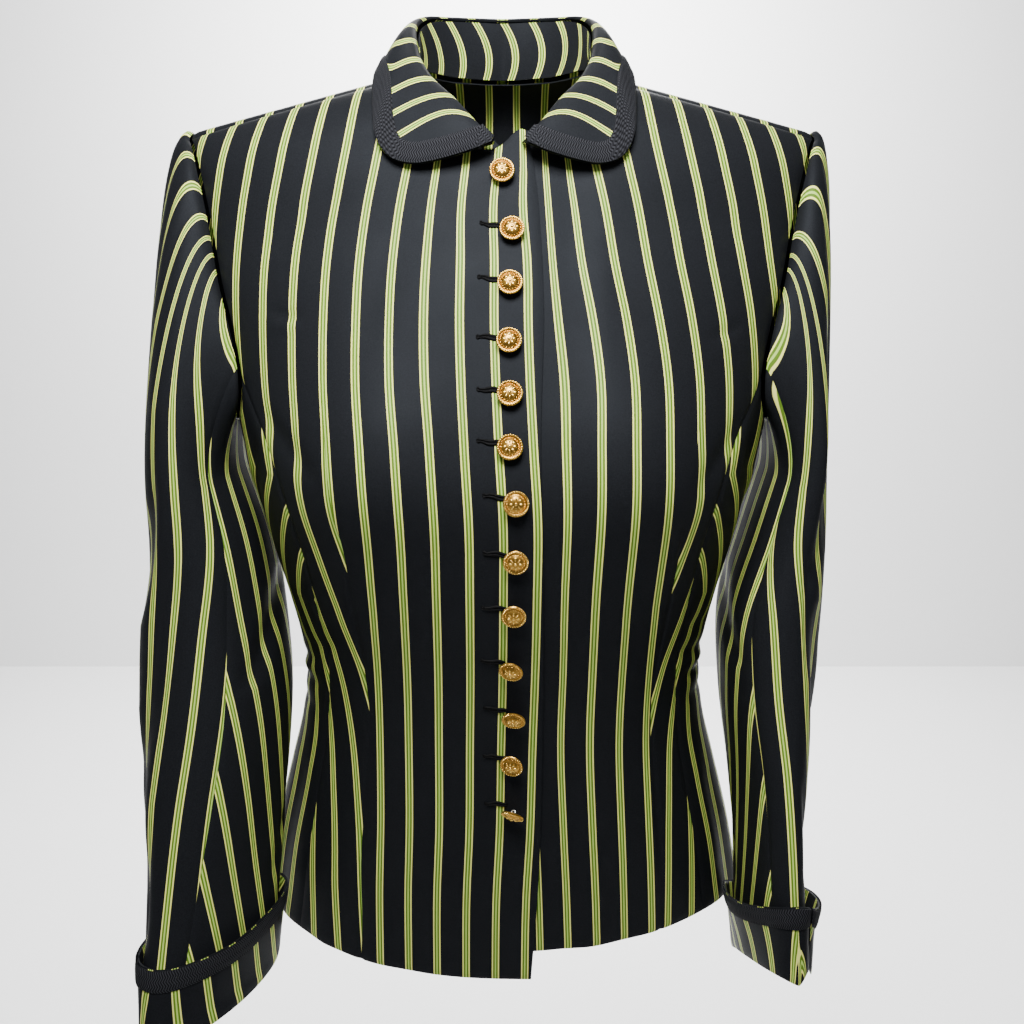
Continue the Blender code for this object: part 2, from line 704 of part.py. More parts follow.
def collar_rows(names):
    """Points of the whole collar along one of its lines, from the wearer's right end round to the left."""
    half = np.stack([column(COLLAR, COLLAR_COLUMNS, name, MM) for name in names], axis=1)
    left = half + np.array([COLLAR_SHIFT, 0, 0]) * fade(len(half))
    right = half * np.array([-1, 1, 1]) + np.array([COLLAR_SHIFT, 0, 0]) * fade(len(half))
    return np.concatenate([right, left[::-1][1:]])


def fade(count):
    """The collar's ends sit off centre with the front edge, its back does not."""
    return np.linspace(1, 0, count)[:, None] ** 1.5


def refine(points, count):
    """A smooth run of points through a line."""
    known = np.arange(len(points), dtype=float)
    at = np.linspace(0, len(points) - 1, count)
    return np.stack([smooth(at, known, points[:, axis]) for axis in range(3)], axis=1)


def collar_fall(count, low, high, rows):
    """The outer face of the turned-down collar between two shares of its width, from fold to edge."""
    fold = refine(collar_rows(("fold_x", "fold_y", "fold_z")), count)
    edge = refine(collar_rows(("edge_x", "edge_y", "edge_z")), count)
    out = edge - fold
    out[:, 2] = 0
    width = np.linalg.norm(edge - fold, axis=1, keepdims=True)
    out = out / np.linalg.norm(out, axis=1, keepdims=True)
    crest = fold + out * width * CREST_OUT + np.array([0, 0, 1.0]) * width * CREST_UP
    share = np.linspace(0, 1, rows)[:, None, None]
    share = low + (high - low) * share
    inward = fold - out * 0.2 * MM
    curve = inward * (1 - share) ** 2 + 2 * crest * share * (1 - share) + edge * share**2
    return curve, fold


def neckline_below(fold):
    """The point of the neckline below each point of the collar's fold."""
    over = np.linspace(0, NECK_SIDE, 30)
    heights = read(NECKLINE, NECK_COLUMNS, "front_height", over)
    front = skin(turn_at(over, heights), heights)
    heights = read(NECKLINE, NECK_COLUMNS, "back_height", over)
    back = skin(turn_at(over, heights, back=True), heights)
    line = np.concatenate([front, back[::-1]])
    bearing = np.arctan2(line[:, 0], -line[:, 1])
    order = np.argsort(bearing)
    toward = np.arctan2(np.abs(fold[:, 0]), -fold[:, 1])
    side = np.sign(fold[:, 0])
    found = [np.interp(toward, bearing[order], line[order, axis]) for axis in range(3)]
    found[0] = found[0] * side
    return np.stack(found, axis=1) + np.array([0, 0, STAND_STEP])


def make_collar():
    count = COLLAR_STEPS
    fall, fold = collar_fall(count, 0.0, 1.0, 7)
    seam = neckline_below(fold)
    normal = grid_normals(fall)
    upward = np.sign(np.sum(normal[..., 2]))
    normal = normal * upward
    wall("collar_fall", fall, fall - normal * COLLAR_WALL)
    braid, _ = collar_fall(count, BRAID_START, 1.0, 3)
    over = grid_normals(braid) * upward
    wall("collar_braid", braid + over * (SEAM_GAP + BRAID_WALL), braid + over * SEAM_GAP)
    share = np.linspace(0, 1, 4)[:, None, None]
    top = fold - np.array([0, 0, 1.0]) * (COLLAR_WALL + 1.2 * MM)
    stand = seam * (1 - share) + top * share
    away = np.cross(np.gradient(stand, axis=1), np.gradient(stand, axis=0))
    away = away / np.linalg.norm(away, axis=-1, keepdims=True)
    middle = away[1, count // 2]
    away = away * (1 if middle[1] > 0 else -1)
    wall("collar_stand", stand, stand - away * CLOTH)


def make_buttons():
    """Domed buttons on their shanks, each standing clear of the lapping front."""
    radius = column(BUTTON_PROFILE, BUTTON_COLUMNS, "radius", MM)
    height = column(BUTTON_PROFILE, BUTTON_COLUMNS, "height", MM)
    rim = float(height[int(np.argmax(radius))])
    for number, (level, reach, droop, turn) in enumerate(BUTTONS, start=1):
        foot, normal = front_frame(reach * MM, level * MM)
        lean = np.array([math.tan(math.radians(turn)), 0, -math.tan(math.radians(droop))])
        axis = (normal + lean) / np.linalg.norm(normal + lean)
        tilt = math.acos(min(1.0, float(np.dot(axis, normal))))
        shank_edge = radius[0] * math.sin(tilt)
        rim_edge = BUTTON_RADIUS * math.sin(tilt) - rim * math.cos(tilt)
        lift = max(shank_edge, rim_edge) + SEAM_GAP
        turned("button_%02d" % number, foot + normal * lift, axis, radius, height, BUTTON_SEGMENTS)


def front_frame(reach, level):
    """A point of the lapping front and the direction it faces."""
    tiny = 1 * MM

    def at(x, z):
        turn = turn_at(np.array(-x), z)
        return skin(turn, z) * np.array([-1, 1, 1])

    here = at(reach, level)
    across = at(reach + tiny, level) - at(reach - tiny, level)
    up = at(reach, level + tiny) - at(reach, level - tiny)
    normal = np.cross(across, up)
    return here, normal / np.linalg.norm(normal)


def turned(name, base, axis, radius, height, segments):
    """A round piece turned about an axis, closed at both ends."""
    side = np.cross(axis, np.array([0, 0, 1.0]))
    side = side / np.linalg.norm(side)
    up = np.cross(side, axis)
    mesh = bmesh.new()
    rings = []
    for far, rise in zip(radius, height):
        ring = []
        for step in range(segments):
            angle = 2 * math.pi * step / segments
            point = base + axis * rise + (side * math.cos(angle) + up * math.sin(angle)) * far
            ring.append(mesh.verts.new(point))
        rings.append(ring)
    for low, high in zip(rings, rings[1:]):
        for step in range(segments):
            after = (step + 1) % segments
            mesh.faces.new([low[step], low[after], high[after], high[step]])
    foot = mesh.verts.new(base + axis * height[0])
    crown = mesh.verts.new(base + axis * (height[-1] + 0.25 * MM))
    for step in range(segments):
        after = (step + 1) % segments
        mesh.faces.new([foot, rings[0][after], rings[0][step]])
        mesh.faces.new([crown, rings[-1][step], rings[-1][after]])
    return finish(name, mesh, 50)


def paint():
    """Each piece gets its material."""
    looks = {
        "button": ("gold", (0.78, 0.53, 0.17), 1.0, 0.3),
        "braid": ("braid", (0.012, 0.013, 0.016), 0.0, 0.85),
        "cloth": ("cloth", (0.02, 0.022, 0.03), 0.0, 0.5),
    }
    for piece in bpy.data.objects:
        kind = next((word for word in ("button", "braid") if word in piece.name), "cloth")
        name, color, metal, rough = looks[kind]
        look = bpy.data.materials.new(piece.name + "_" + name)
        look.use_nodes = True
        shader = look.node_tree.nodes["Principled BSDF"]
        shader.inputs["Base Color"].default_value = (*color, 1.0)
        shader.inputs["Metallic"].default_value = metal
        shader.inputs["Roughness"].default_value = rough
        piece.data.materials.append(look)


for old in list(bpy.data.objects):
    bpy.data.objects.remove(old)
make_body()
make_sleeves()
make_collar()
make_buttons()
paint()
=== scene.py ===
"""A tailored short jacket of striped cloth, worn and hollow, in a pale studio.

The torso, sleeves, collar and cuffs are thin shells of cloth on the frame's solids. Lengths in the tables
are in millimetres and angles in degrees; the front faces -Y and the wearer's left is +X.
"""

from __future__ import annotations

import logging
import math
from dataclasses import dataclass, field
from enum import Enum
from typing import Any, Callable, Sequence

import bpy
import numpy as np
from mathutils import Matrix, Vector

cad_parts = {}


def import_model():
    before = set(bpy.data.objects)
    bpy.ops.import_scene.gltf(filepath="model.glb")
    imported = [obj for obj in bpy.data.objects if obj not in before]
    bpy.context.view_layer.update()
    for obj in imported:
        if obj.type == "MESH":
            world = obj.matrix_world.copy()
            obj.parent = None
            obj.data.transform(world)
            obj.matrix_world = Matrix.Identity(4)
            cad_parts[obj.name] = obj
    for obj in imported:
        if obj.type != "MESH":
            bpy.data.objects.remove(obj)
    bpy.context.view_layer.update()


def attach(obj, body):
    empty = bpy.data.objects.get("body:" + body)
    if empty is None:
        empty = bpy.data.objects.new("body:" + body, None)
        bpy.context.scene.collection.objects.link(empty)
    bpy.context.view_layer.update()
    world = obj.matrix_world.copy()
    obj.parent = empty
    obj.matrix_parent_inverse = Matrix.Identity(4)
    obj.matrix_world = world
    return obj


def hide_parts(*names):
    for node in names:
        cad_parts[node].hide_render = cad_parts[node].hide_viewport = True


LOG = logging.getLogger("jacket")
MM = 0.001
CLOTH = 1.6 * MM
SEAM_GAP = 0.3 * MM
STRIPE_PITCH = 20 * MM
DEGREE = 2.6 * MM
Look = bpy.types.Material


class Hand(Enum):
    """Which side of the wearer a piece lies on."""

    RIGHT = "right"
    LEFT = "left"

    @property
    def side(self) -> np.ndarray:
        """Factor that turns a left-hand form into this hand's."""
        return np.array([-1.0 if self is Hand.RIGHT else 1.0, 1.0, 1.0])


class Held(Enum):
    """How a sheet of cloth is held."""

    HUNG = "hung"
    FOLDED = "folded"


class Slot(Enum):
    """Names of material slots."""

    CLOTH = "cloth"
    BRAID = "braid"
    BUTTON = "button"


@dataclass(frozen=True)
class Table:
    """A short table with named columns, read smoothly along its first."""

    columns: tuple[str, ...]
    rows: tuple[tuple[float, ...], ...]

    @classmethod
    def of(cls, columns: str, *rows: tuple[float, ...]) -> Table:
        """Args: columns: their names, spaced; rows: their values. Returns: the table."""
        return cls(tuple(columns.split()), rows)

    def column(self, name: str, scale: float = MM) -> np.ndarray:
        """Args: name: the column; scale: metres per unit. Returns: its values."""
        place = self.columns.index(name)
        return np.array([row[place] * scale for row in self.rows], dtype=float)

    def read(self, name: str, at: Any, key_scale: float = MM, scale: float = MM) -> np.ndarray:
        """Args: name: the column; at: where to read it. Returns: the smooth values there."""
        return smooth(at, self.column(self.columns[0], key_scale), self.column(name, scale))


def smooth(at: Any, known: np.ndarray, values: np.ndarray) -> np.ndarray:
    """Args: at: where; known, values: the curve's points. Returns: a smooth curve through them."""
    at = np.clip(np.asarray(at, dtype=float), known[0], known[-1])
    slopes = np.gradient(values, known)
    index = np.clip(np.searchsorted(known, at, side="right") - 1, 0, len(known) - 2)
    span = known[index + 1] - known[index]
    share = (at - known[index]) / span
    start = values[index] * (1 + 2 * share) + slopes[index] * span * share
    end = values[index + 1] * (3 - 2 * share) + slopes[index + 1] * span * (share - 1)
    return start * (1 - share) ** 2 + end * share**2


SECTIONS = Table.of(
    "height half_width front back front_square back_square",
    (-600, 185, 97, 117, 2.35, 2.3),
    (-560, 177, 97, 112, 2.35, 2.3),
    (-510, 167, 98, 104, 2.4, 2.3),
    (-460, 154, 100, 96, 2.4, 2.35),
    (-425, 145, 103, 91, 2.4, 2.4),
    (-395, 141, 107, 89, 2.45, 2.4),
    (-365, 142, 113, 90, 2.5, 2.4),
    (-330, 148, 121, 94, 2.6, 2.4),
    (-290, 158, 128, 101, 2.6, 2.4),
    (-250, 168, 130, 108, 2.6, 2.4),
    (-215, 176, 121, 113, 2.55, 2.4),
    (-183, 183, 109, 115, 2.5, 2.4),
    (-125, 195, 85, 113, 2.45, 2.4),
    (-92, 199, 70, 108, 2.4, 2.4),
    (-61, 202, 58, 99, 2.4, 2.35),
    (-30, 204, 46, 88, 2.4, 2.3),
    (10, 205, 38, 78, 2.4, 2.3),
    (60, 205, 38, 78, 2.4, 2.3),
)
ARMHOLE = Table.of(
    "height front_reach back_reach",
    (-216, 175.2, 175.2),
    (-212, 171, 174),
    (-203, 166, 171.5),
    (-185, 163.5, 170),
    (-160, 167.5, 172),
    (-125, 177, 178),
    (-92, 184, 185),
    (-61, 191.5, 192),
    (-43, 197, 197.5),
    (-28, 202, 202),
)
SEAMS = Table.of(
    "share side_front side_back",
    (0.0, 51, 127),
    (0.2, 51, 126),
    (0.42, 52, 125),
    (0.58, 48, 124),
    (0.75, 46, 121),
    (0.9, 51, 117),
    (1.0, 60, 113),
)
HEM = Table.of(
    "turn right left",
    (-20, -592, -572),
    (0, -591, -572),
    (25, -585, -566),
    (50, -573, -559),
    (90, -566, -562),
    (130, -570, -569),
    (180, -574, -574),
)
FRONT_EDGES = Table.of(
    "height lap_edge under_edge",
    (-600, 19, -12),
    (-520, 24, -12),
    (-430, 26, -12),
    (-300, 25, -12),
    (-220, 23, -12),
    (-130, 25, -12),
    (-95, 23.5, -12),
    (-55, 19.5, -12),
    (-32, 15, -12),
)
# How far the stripes of each front lie nearer to its edge than the grain would put them, near it and far out.
DRIFT = Table.of(
    "height right right_far left left_far",
    (-600, -4, -4, -10, -9),
    (-529, -3, -3, -8, -6),
    (-478, -0.6, -0.6, -6, -3),
    (-416, 0.6, 0.6, -3.5, 0),
    (-362, 1.8, 1.8, -5, 0),
    (-311, 2.4, 2.4, -4, 0),
    (-262, 2.4, 2.4, -3, -1),
    (-220, 0, 0, 0, -1),
    (-180, -2, -4, 2, -1),
    (-146, -3, -5, 3.5, 3),
    (-114, -3, -4, 3.5, 9),
    (-80, -3.5, 0, 4.5, 14.5),
    (-55, -1, 4.7, 5, 20),
    (-30, 1, 9, 5, 25),
    (5, 2, 12, 5, 28),
)
NECKLINE = Table.of(
    "reach front_height back_height",
    (-30, -36, 11),
    (-15, -35.4, 11),
    (-11, -34.2, 11.5),
    (-7, -37.5, 12),
    (-0.5, -44, 12),
    (4, -46.5, 12),
    (20, -44, 13),
    (38, -34, 16),
    (50, -21, 22),
    (58, -7, 30),
    (62, 6.9, 41),
)
# The dart of each front: its turn, and how much cloth it has taken in, a row per level from its foot up.
DARTS = Table.of(
    "height right_turn left_turn intake",
    (-600, 29, 34, 49),
    (-568, 29.5, 34.5, 48),
    (-480, 32, 37.2, 44),
    (-410, 33, 39.5, 37),
    (-370, 33, 39.4, 29),
    (-330, 32, 38.6, 16),
    (-286, 30, 37, 5),
    (-262, 30, 36, 0),
    (-200, 30, 36, 0),
)
# Creases of the torso: where each starts and ends as turn and height, its width and depth (a ridge below 0).
CREASE_COLUMNS = "turn_from height_from turn_to height_to width depth"
CREASES = {
    Hand.RIGHT: Table.of(
        CREASE_COLUMNS,
        (54, -368, 90, -382, 5, 1.7),
        (57, -388, 98, -394, 4.5, 1.3),
        (60, -378, 84, -388, 4, -0.9),
        (42, -352, 72, -366, 6, 1.1),
        (62, -408, 104, -412, 5, 1.0),
        (50, -204, 34, -238, 8, 1.8),
        (58, -222, 72, -268, 8, 1.7),
        (66, -236, 96, -280, 9, -1.1),
        (35, -146, 43, -143, 3, 1.2),
        (35, -152, 43, -151, 3, -0.8),
        (24, -70, 42, -104, 9, 1.3),
        (14, -96, 20, -160, 10, 0.9),
        (138, -66, 122, -156, 10, 2.0),
        (128, -176, 146, -236, 11, 1.6),
        (160, -338, 122, -350, 7, 1.7),
        (152, -366, 112, -380, 6, 1.6),
        (164, -392, 128, -398, 6, 1.2),
        (176, -30, 150, -44, 7, 1.3),
        (67, -602, 64, -452, 15, 2.4),
        (112, -602, 110, -462, 16, 3.0),
        (152, -602, 156, -488, 15, 2.6),
        (17, -602, 21, -500, 13, 1.2),
        (41, -600, 40, -520, 10, -1.2),
    ),
    Hand.LEFT: Table.of(
        CREASE_COLUMNS,
        (50, -360, 86, -374, 5.5, 1.6),
        (55, -382, 92, -386, 4.5, 1.4),
        (58, -371, 82, -380, 4, -0.9),
        (60, -400, 100, -406, 5, 1.1),
        (48, -340, 70, -346, 6, 1.0),
        (52, -208, 38, -246, 8, 1.6),
        (60, -226, 76, -274, 9, 1.8),
        (70, -244, 100, -286, 8, -1.0),
        (38, -158, 46, -152, 4, 1.0),
        (26, -76, 46, -98, 9, 1.2),
        (12, -104, 24, -150, 11, 0.8),
        (142, -72, 124, -146, 10, 1.8),
        (126, -184, 142, -250, 11, 1.7),
        (158, -346, 118, -356, 7, 1.6),
        (150, -376, 116, -386, 6, 1.7),
        (166, -402, 130, -410, 6, 1.1),
        (174, -34, 146, -52, 7, 1.2),
        (70, -602, 68, -462, 15, 2.2),
        (115, -602, 112, -474, 16, 2.8),
        (149, -602, 152, -480, 15, 2.5),
        (24, -600, 26, -510, 13, 1.1),
    ),
}
COLLAR = Table.of(
    "fold_x fold_y fold_z edge_x edge_y edge_z",
    (9.5, -58, -41, 10.5, -62, -44),
    (19, -53, -31, 23, -64, -49),
    (31, -43, -17, 41, -63, -54),
    (44, -30, -4, 57, -61, -56),
    (52, -17, 10, 71, -57, -51),
    (55, -4, 23, 79, -50, -36),
    (56, 9, 34, 81, -30, -8),
    (53, 23, 42, 81, -4, 3.5),
    (46, 35, 47, 76, 28, 3.5),
    (34, 44, 49, 61, 60, 0),
    (18, 50, 50, 33, 80, -4),
    (0, 52, 50, 0, 88, -6),
)
# How far the collar's stripes run on round it from fold to edge, by place along it.
COLLAR_LINES = Table.of(
    "place lead",
    (0, 2.15),
    (1, 2.15),
    (2, 2.1),
    (3, 2.1),
    (4.2, 2.1),
    (5.6, 2.0),
    (8, 1.0),
    (11, 0),
)
SLEEVE_COLUMNS = "height out forward half_depth half_width turn tilt stripe"
SLEEVES = {
    Hand.RIGHT: Table.of(
        SLEEVE_COLUMNS,
        (-252, 206, 14, 71, 30, 0, 0, -3),
        (-290, 200, 20, 68, 36, 3, 0, -1),
        (-345, 198, 32, 65, 42, 8, 0, 2),
        (-400, 195, 49, 62, 44, 14, 0, 5),
        (-450, 194, 68, 60, 40, 19, 0, 8),
        (-500, 191, 91, 56.5, 31, 25, 0, 11),
        (-545, 189, 115, 54, 23, 29, 0, 13),
        (-566, 188, 125, 53, 20, 31, 0, 14),
    ),
    Hand.LEFT: Table.of(
        SLEEVE_COLUMNS,
        (-252, 197, 8, 72, 19, 0, 0, -9),
        (-290, 192, 13, 69, 25, 0, 2, -5),
        (-345, 184, 26, 66, 31, 0, 8, 8),
        (-400, 181, 44, 62, 28, 1, 14, 13),
        (-450, 180, 64, 60, 21, 2, 20, 17),
        (-500, 179, 84, 58, 17, 3, 26, 19),
        (-535, 178, 98, 56, 16, 4, 29, 20),
        (-557, 178, 106, 55, 17, 5, 30, 20),
    ),
}
# Folds of the sleeves: where each starts and ends along and round, its width in degrees and its depth.
FOLD_COLUMNS = "share_from turn_from share_to turn_to width depth"
FOLDS = {
    Hand.RIGHT: Table.of(
        FOLD_COLUMNS,
        (0.16, 20, 0.45, 58, 14, 4),
        (0.30, 10, 0.78, 40, 15, 4),
        (0.58, 60, 0.92, 18, 16, 4),
        (0.45, 150, 0.60, 200, 15, 4),
        (0.38, 250, 0.55, 300, 14, 3),
        (0.24, 44, 0.50, 84, 7, 1.6),
        (0.34, -8, 0.62, 16, 8, 2.0),
        (0.52, 34, 0.80, 66, 7, -1.4),
        (0.70, 4, 0.95, 34, 8, 1.5),
        (0.46, 84, 0.66, 122, 8, 1.7),
        (0.62, 110, 0.84, 150, 9, 1.8),
        (0.12, 128, 0.34, 158, 10, 1.8),
        (0.30, 176, 0.50, 214, 9, 1.6),
        (0.66, 208, 0.90, 244, 10, 1.5),
        (0.02, 62, 0.13, 66, 6, 1.5),
        (0.02, 78, 0.10, 79, 5, 1.3),
        (0.01, 94, 0.11, 92, 5, 1.5),
        (0.01, 109, 0.10, 106, 5, 1.2),
        (0.02, 40, 0.12, 46, 6, 1.2),
    ),
    Hand.LEFT: Table.of(
        FOLD_COLUMNS,
        (0.10, 45, 0.40, 20, 14, 4),
        (0.42, 30, 0.70, 66, 14, 4),
        (0.62, 78, 0.90, 40, 15, 4),
        (0.45, 150, 0.60, 200, 15, 4),
        (0.38, 250, 0.55, 300, 14, 3),
        (0.03, 60, 0.34, 42, 6, 2.2),
        (0.30, 6, 0.56, 26, 8, 1.8),
        (0.50, 56, 0.74, 90, 7, -1.3),
        (0.72, 20, 0.94, 46, 8, 1.5),
        (0.44, 92, 0.62, 126, 8, 1.6),
        (0.64, 112, 0.86, 146, 9, 1.8),
        (0.14, 132, 0.36, 160, 10, 1.7),
        (0.32, 180, 0.52, 216, 9, 1.5),
        (0.68, 212, 0.92, 246, 10, 1.4),
        (0.02, 76, 0.11, 76, 5, 1.4),
        (0.01, 90, 0.10, 89, 5, 1.5),
        (0.01, 104, 0.12, 101, 5, 1.3),
        (0.02, 120, 0.11, 116, 6, 1.2),
    ),
}
CUFF_COLUMNS = "turn top bottom flare"
CUFFS = {
    Hand.RIGHT: Table.of(
        CUFF_COLUMNS,
        (0, 33, -8, 2),
        (40, 32, -12, 1),
        (90, 31, -9, 1),
        (140, 31, -7, 3),
        (200, 31, -7, 5),
        (240, 32, -9, 5),
        (300, 33, -11, 4),
        (360, 33, -8, 2),
    ),
    Hand.LEFT: Table.of(
        CUFF_COLUMNS,
        (0, 32, -17, 5),
        (25, 31, -9, 6),
        (45, 30, -13, 8),
        (90, 30, -5, 11),
        (140, 31, -5, 7),
        (200, 31, -7, 5),
        (270, 31, -4, 12),
        (310, 32, -9, 8),
        (360, 32, -17, 5),
    ),
}
BUTTONS = Table.of(
    "height reach droop turn",
    (-61.5, 0.5, 0, 0),
    (-95.9, 6.5, 0, 0),
    (-127.1, 5.3, 0, 0),
    (-159.8, 4.8, 0, 0),
    (-189.3, 5.3, 0, 0),
    (-218.7, 5.4, 0, 0),
    (-249.5, 8.8, 0, 2),
    (-283.4, 8.8, 4, -2),
    (-317.9, 7.7, 6, -3),
    (-355.3, 6.5, 14, -12),
    (-390.5, 7.8, 22, -8),
    (-425.2, 7.1, 6, -16),
    (-459.4, 7.8, 46, -24),
)


def unit(vectors: np.ndarray) -> np.ndarray:
    """Args: vectors: any array of them. Returns: the same at unit length."""
    return vectors / np.linalg.norm(vectors, axis=-1, keepdims=True)


def ease(share: Any) -> Any:
    """Args: share: 0 to 1. Returns: it with soft ends."""
    return share * share * (3 - 2 * share)


def rounded(part: Any, square: Any) -> np.ndarray:
    """Args: part: a sine or cosine; square: how square the section is. Returns: the share of its reach."""
    return np.sign(part) * np.abs(part) ** (2 / square)


def walked(points: np.ndarray) -> np.ndarray:
    """Args: points: a curve. Returns: how far along it each of them lies."""
    return np.concatenate([[0], np.cumsum(np.linalg.norm(np.diff(points, axis=0), axis=1))])


def linked(name: str, data: Any) -> bpy.types.Object:
    """Args: name, data: an object's. Returns: it, in the scene."""
    made = bpy.data.objects.new(name, data)
    bpy.context.scene.collection.objects.link(made)
    return made


def even(points: np.ndarray, count: int) -> np.ndarray:
    """Args: points: a curve; count: how many. Returns: points evenly spaced along it."""
    run = walked(points)
    at = np.linspace(0, run[-1], count)
    return np.stack([np.interp(at, run, points[:, axis]) for axis in range(points.shape[1])], axis=1)


def coons(bottom: np.ndarray, top: np.ndarray, left: np.ndarray, right: np.ndarray) -> np.ndarray:
    """Args: four edges that share their corners. Returns: a grid filled in between them."""
    up = np.linspace(0, 1, len(left))[:, None, None]
    over = np.linspace(0, 1, len(bottom))[None, :, None]
    ruled = (1 - up) * bottom[None] + up * top[None] + (1 - over) * left[:, None] + over * right[:, None]
    low = (1 - over) * bottom[0] + over * bottom[-1]
    high = (1 - over) * top[0] + over * top[-1]
    return ruled - (1 - up) * low - up * high


@dataclass
class ClothGrid:
    """A panel's outer face: points, outward normals, and the cloth's own measure across and along it."""

    points: np.ndarray
    normals: np.ndarray
    across: np.ndarray
    along: np.ndarray
    dart_column: int = 0
    dart_intake: np.ndarray | None = None

    def corners(self, quads: np.ndarray) -> np.ndarray:
        """Args: quads: vertex numbers of its faces. Returns: the cloth's measure at their corners."""
        uv = np.stack([self.across.ravel()[quads], self.along.ravel()[quads]], axis=-1)
        if self.dart_intake is not None:
            columns = self.across.shape[1]
            beyond = (quads % columns).min(axis=1) >= self.dart_column
            uv[..., 0] += beyond[:, None] * self.dart_intake[quads // columns]
        return uv

    def edge_distance(self) -> np.ndarray:
        """Returns: how far each point lies from the panel's nearest edge."""
        far = np.full(self.points.shape[:2], np.inf)
        for axis in (0, 1):
            steps = np.linalg.norm(np.diff(self.points, axis=axis), axis=-1)
            first = np.zeros_like(np.take(steps, [0], axis=axis))
            run = np.concatenate([first, np.cumsum(steps, axis=axis)], axis=axis)
            whole = np.take(run, [-1], axis=axis)
            far = np.minimum(far, np.minimum(run, whole - run))
        return far

    def area(self) -> float:
        """Returns: the outer face's area in square metres."""
        across = np.diff(self.points, axis=1)[:-1]
        along = np.diff(self.points, axis=0)[:, :-1]
        return float(np.sum(np.linalg.norm(np.cross(across, along), axis=-1)))


@dataclass(frozen=True)
class Cut:
    """How a sheet was cut and is held.

    Args: width, length: its flat size; area: its flat area; held: how it is held; rests_on: what holds it.
    None of them is used.
    """

    width: float
    length: float
    area: float | None = None
    held: Held = Held.HUNG
    rests_on: tuple[str, ...] = ()


@dataclass(frozen=True)
class Tailor:
    """Args: roll: how far a sewn edge rounds off; roll_width: over what width it does so; sharp: the angle
    past which an edge is; rim: the edges' place across the stripes, which is between two of them.
    """

    roll: float = 0.7 * MM
    roll_width: float = 1.8 * MM
    sharp: float = math.radians(50)
    rim: float = 0.5

    def shell(self, name: str, grid: ClothGrid, look: Look, wall: float, side: np.ndarray) -> Any:
        """Args: name, grid, look, wall: the piece; side: its hand's factor. Returns: the closed shell."""
        sunk = self.roll * np.exp(-((grid.edge_distance() / self.roll_width) ** 2))
        outer = (grid.points - grid.normals * sunk[..., None]) * side
        inner = (grid.points - grid.normals * wall) * side
        rows, columns = outer.shape[:2]
        places = np.arange(rows * columns).reshape(rows, columns)
        quads = np.stack([places[:-1, :-1], places[:-1, 1:], places[1:, 1:], places[1:, :-1]], axis=-1)
        quads = quads.reshape(-1, 4)
        facing = np.cross(outer[0, 1] - outer[0, 0], outer[1, 0] - outer[0, 0]) @ (grid.normals[0, 0] * side)
        if facing < 0:
            quads = quads[:, ::-1]
        rim = np.concatenate([places[0, :-1], places[:-1, -1], places[-1, :0:-1], places[:0:-1, 0]])
        after = np.roll(rim, -1)
        count = rows * columns
        sides = np.stack([after, rim, rim + count, after + count], axis=-1)
        edging = np.stack([after, rim, rim, after], axis=-1)
        if facing < 0:
            sides, edging = sides[:, ::-1], edging[:, ::-1]
        faces = np.concatenate([quads, quads[:, ::-1] + count, sides])
        verts = np.concatenate([outer.reshape(-1, 3), inner.reshape(-1, 3)])
        mesh = bpy.data.meshes.new(name)
        mesh.from_pydata(verts.tolist(), [], faces.tolist())
        rim_uv = grid.corners(edging)
        rim_uv[..., 0] = self.rim
        uv = np.concatenate([grid.corners(quads), grid.corners(quads[:, ::-1]), rim_uv])
        mesh.uv_layers.new(name="cloth").data.foreach_set("uv", uv.ravel())
        mesh.shade_smooth()
        mesh.set_sharp_from_angle(angle=self.sharp)
        mesh.materials.append(look)
        LOG.info("%s: %d faces, outer area %.4f m2", name, len(faces), grid.area())
        return linked(name, mesh)

    def declare(
        self, piece: bpy.types.Object, node: str
    ) -> None:
        """Parents the piece to the root and hides the solid it replaces. Args: piece: the sheet; node: that
        solid.
        """
        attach(piece, "root")
        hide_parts(node)


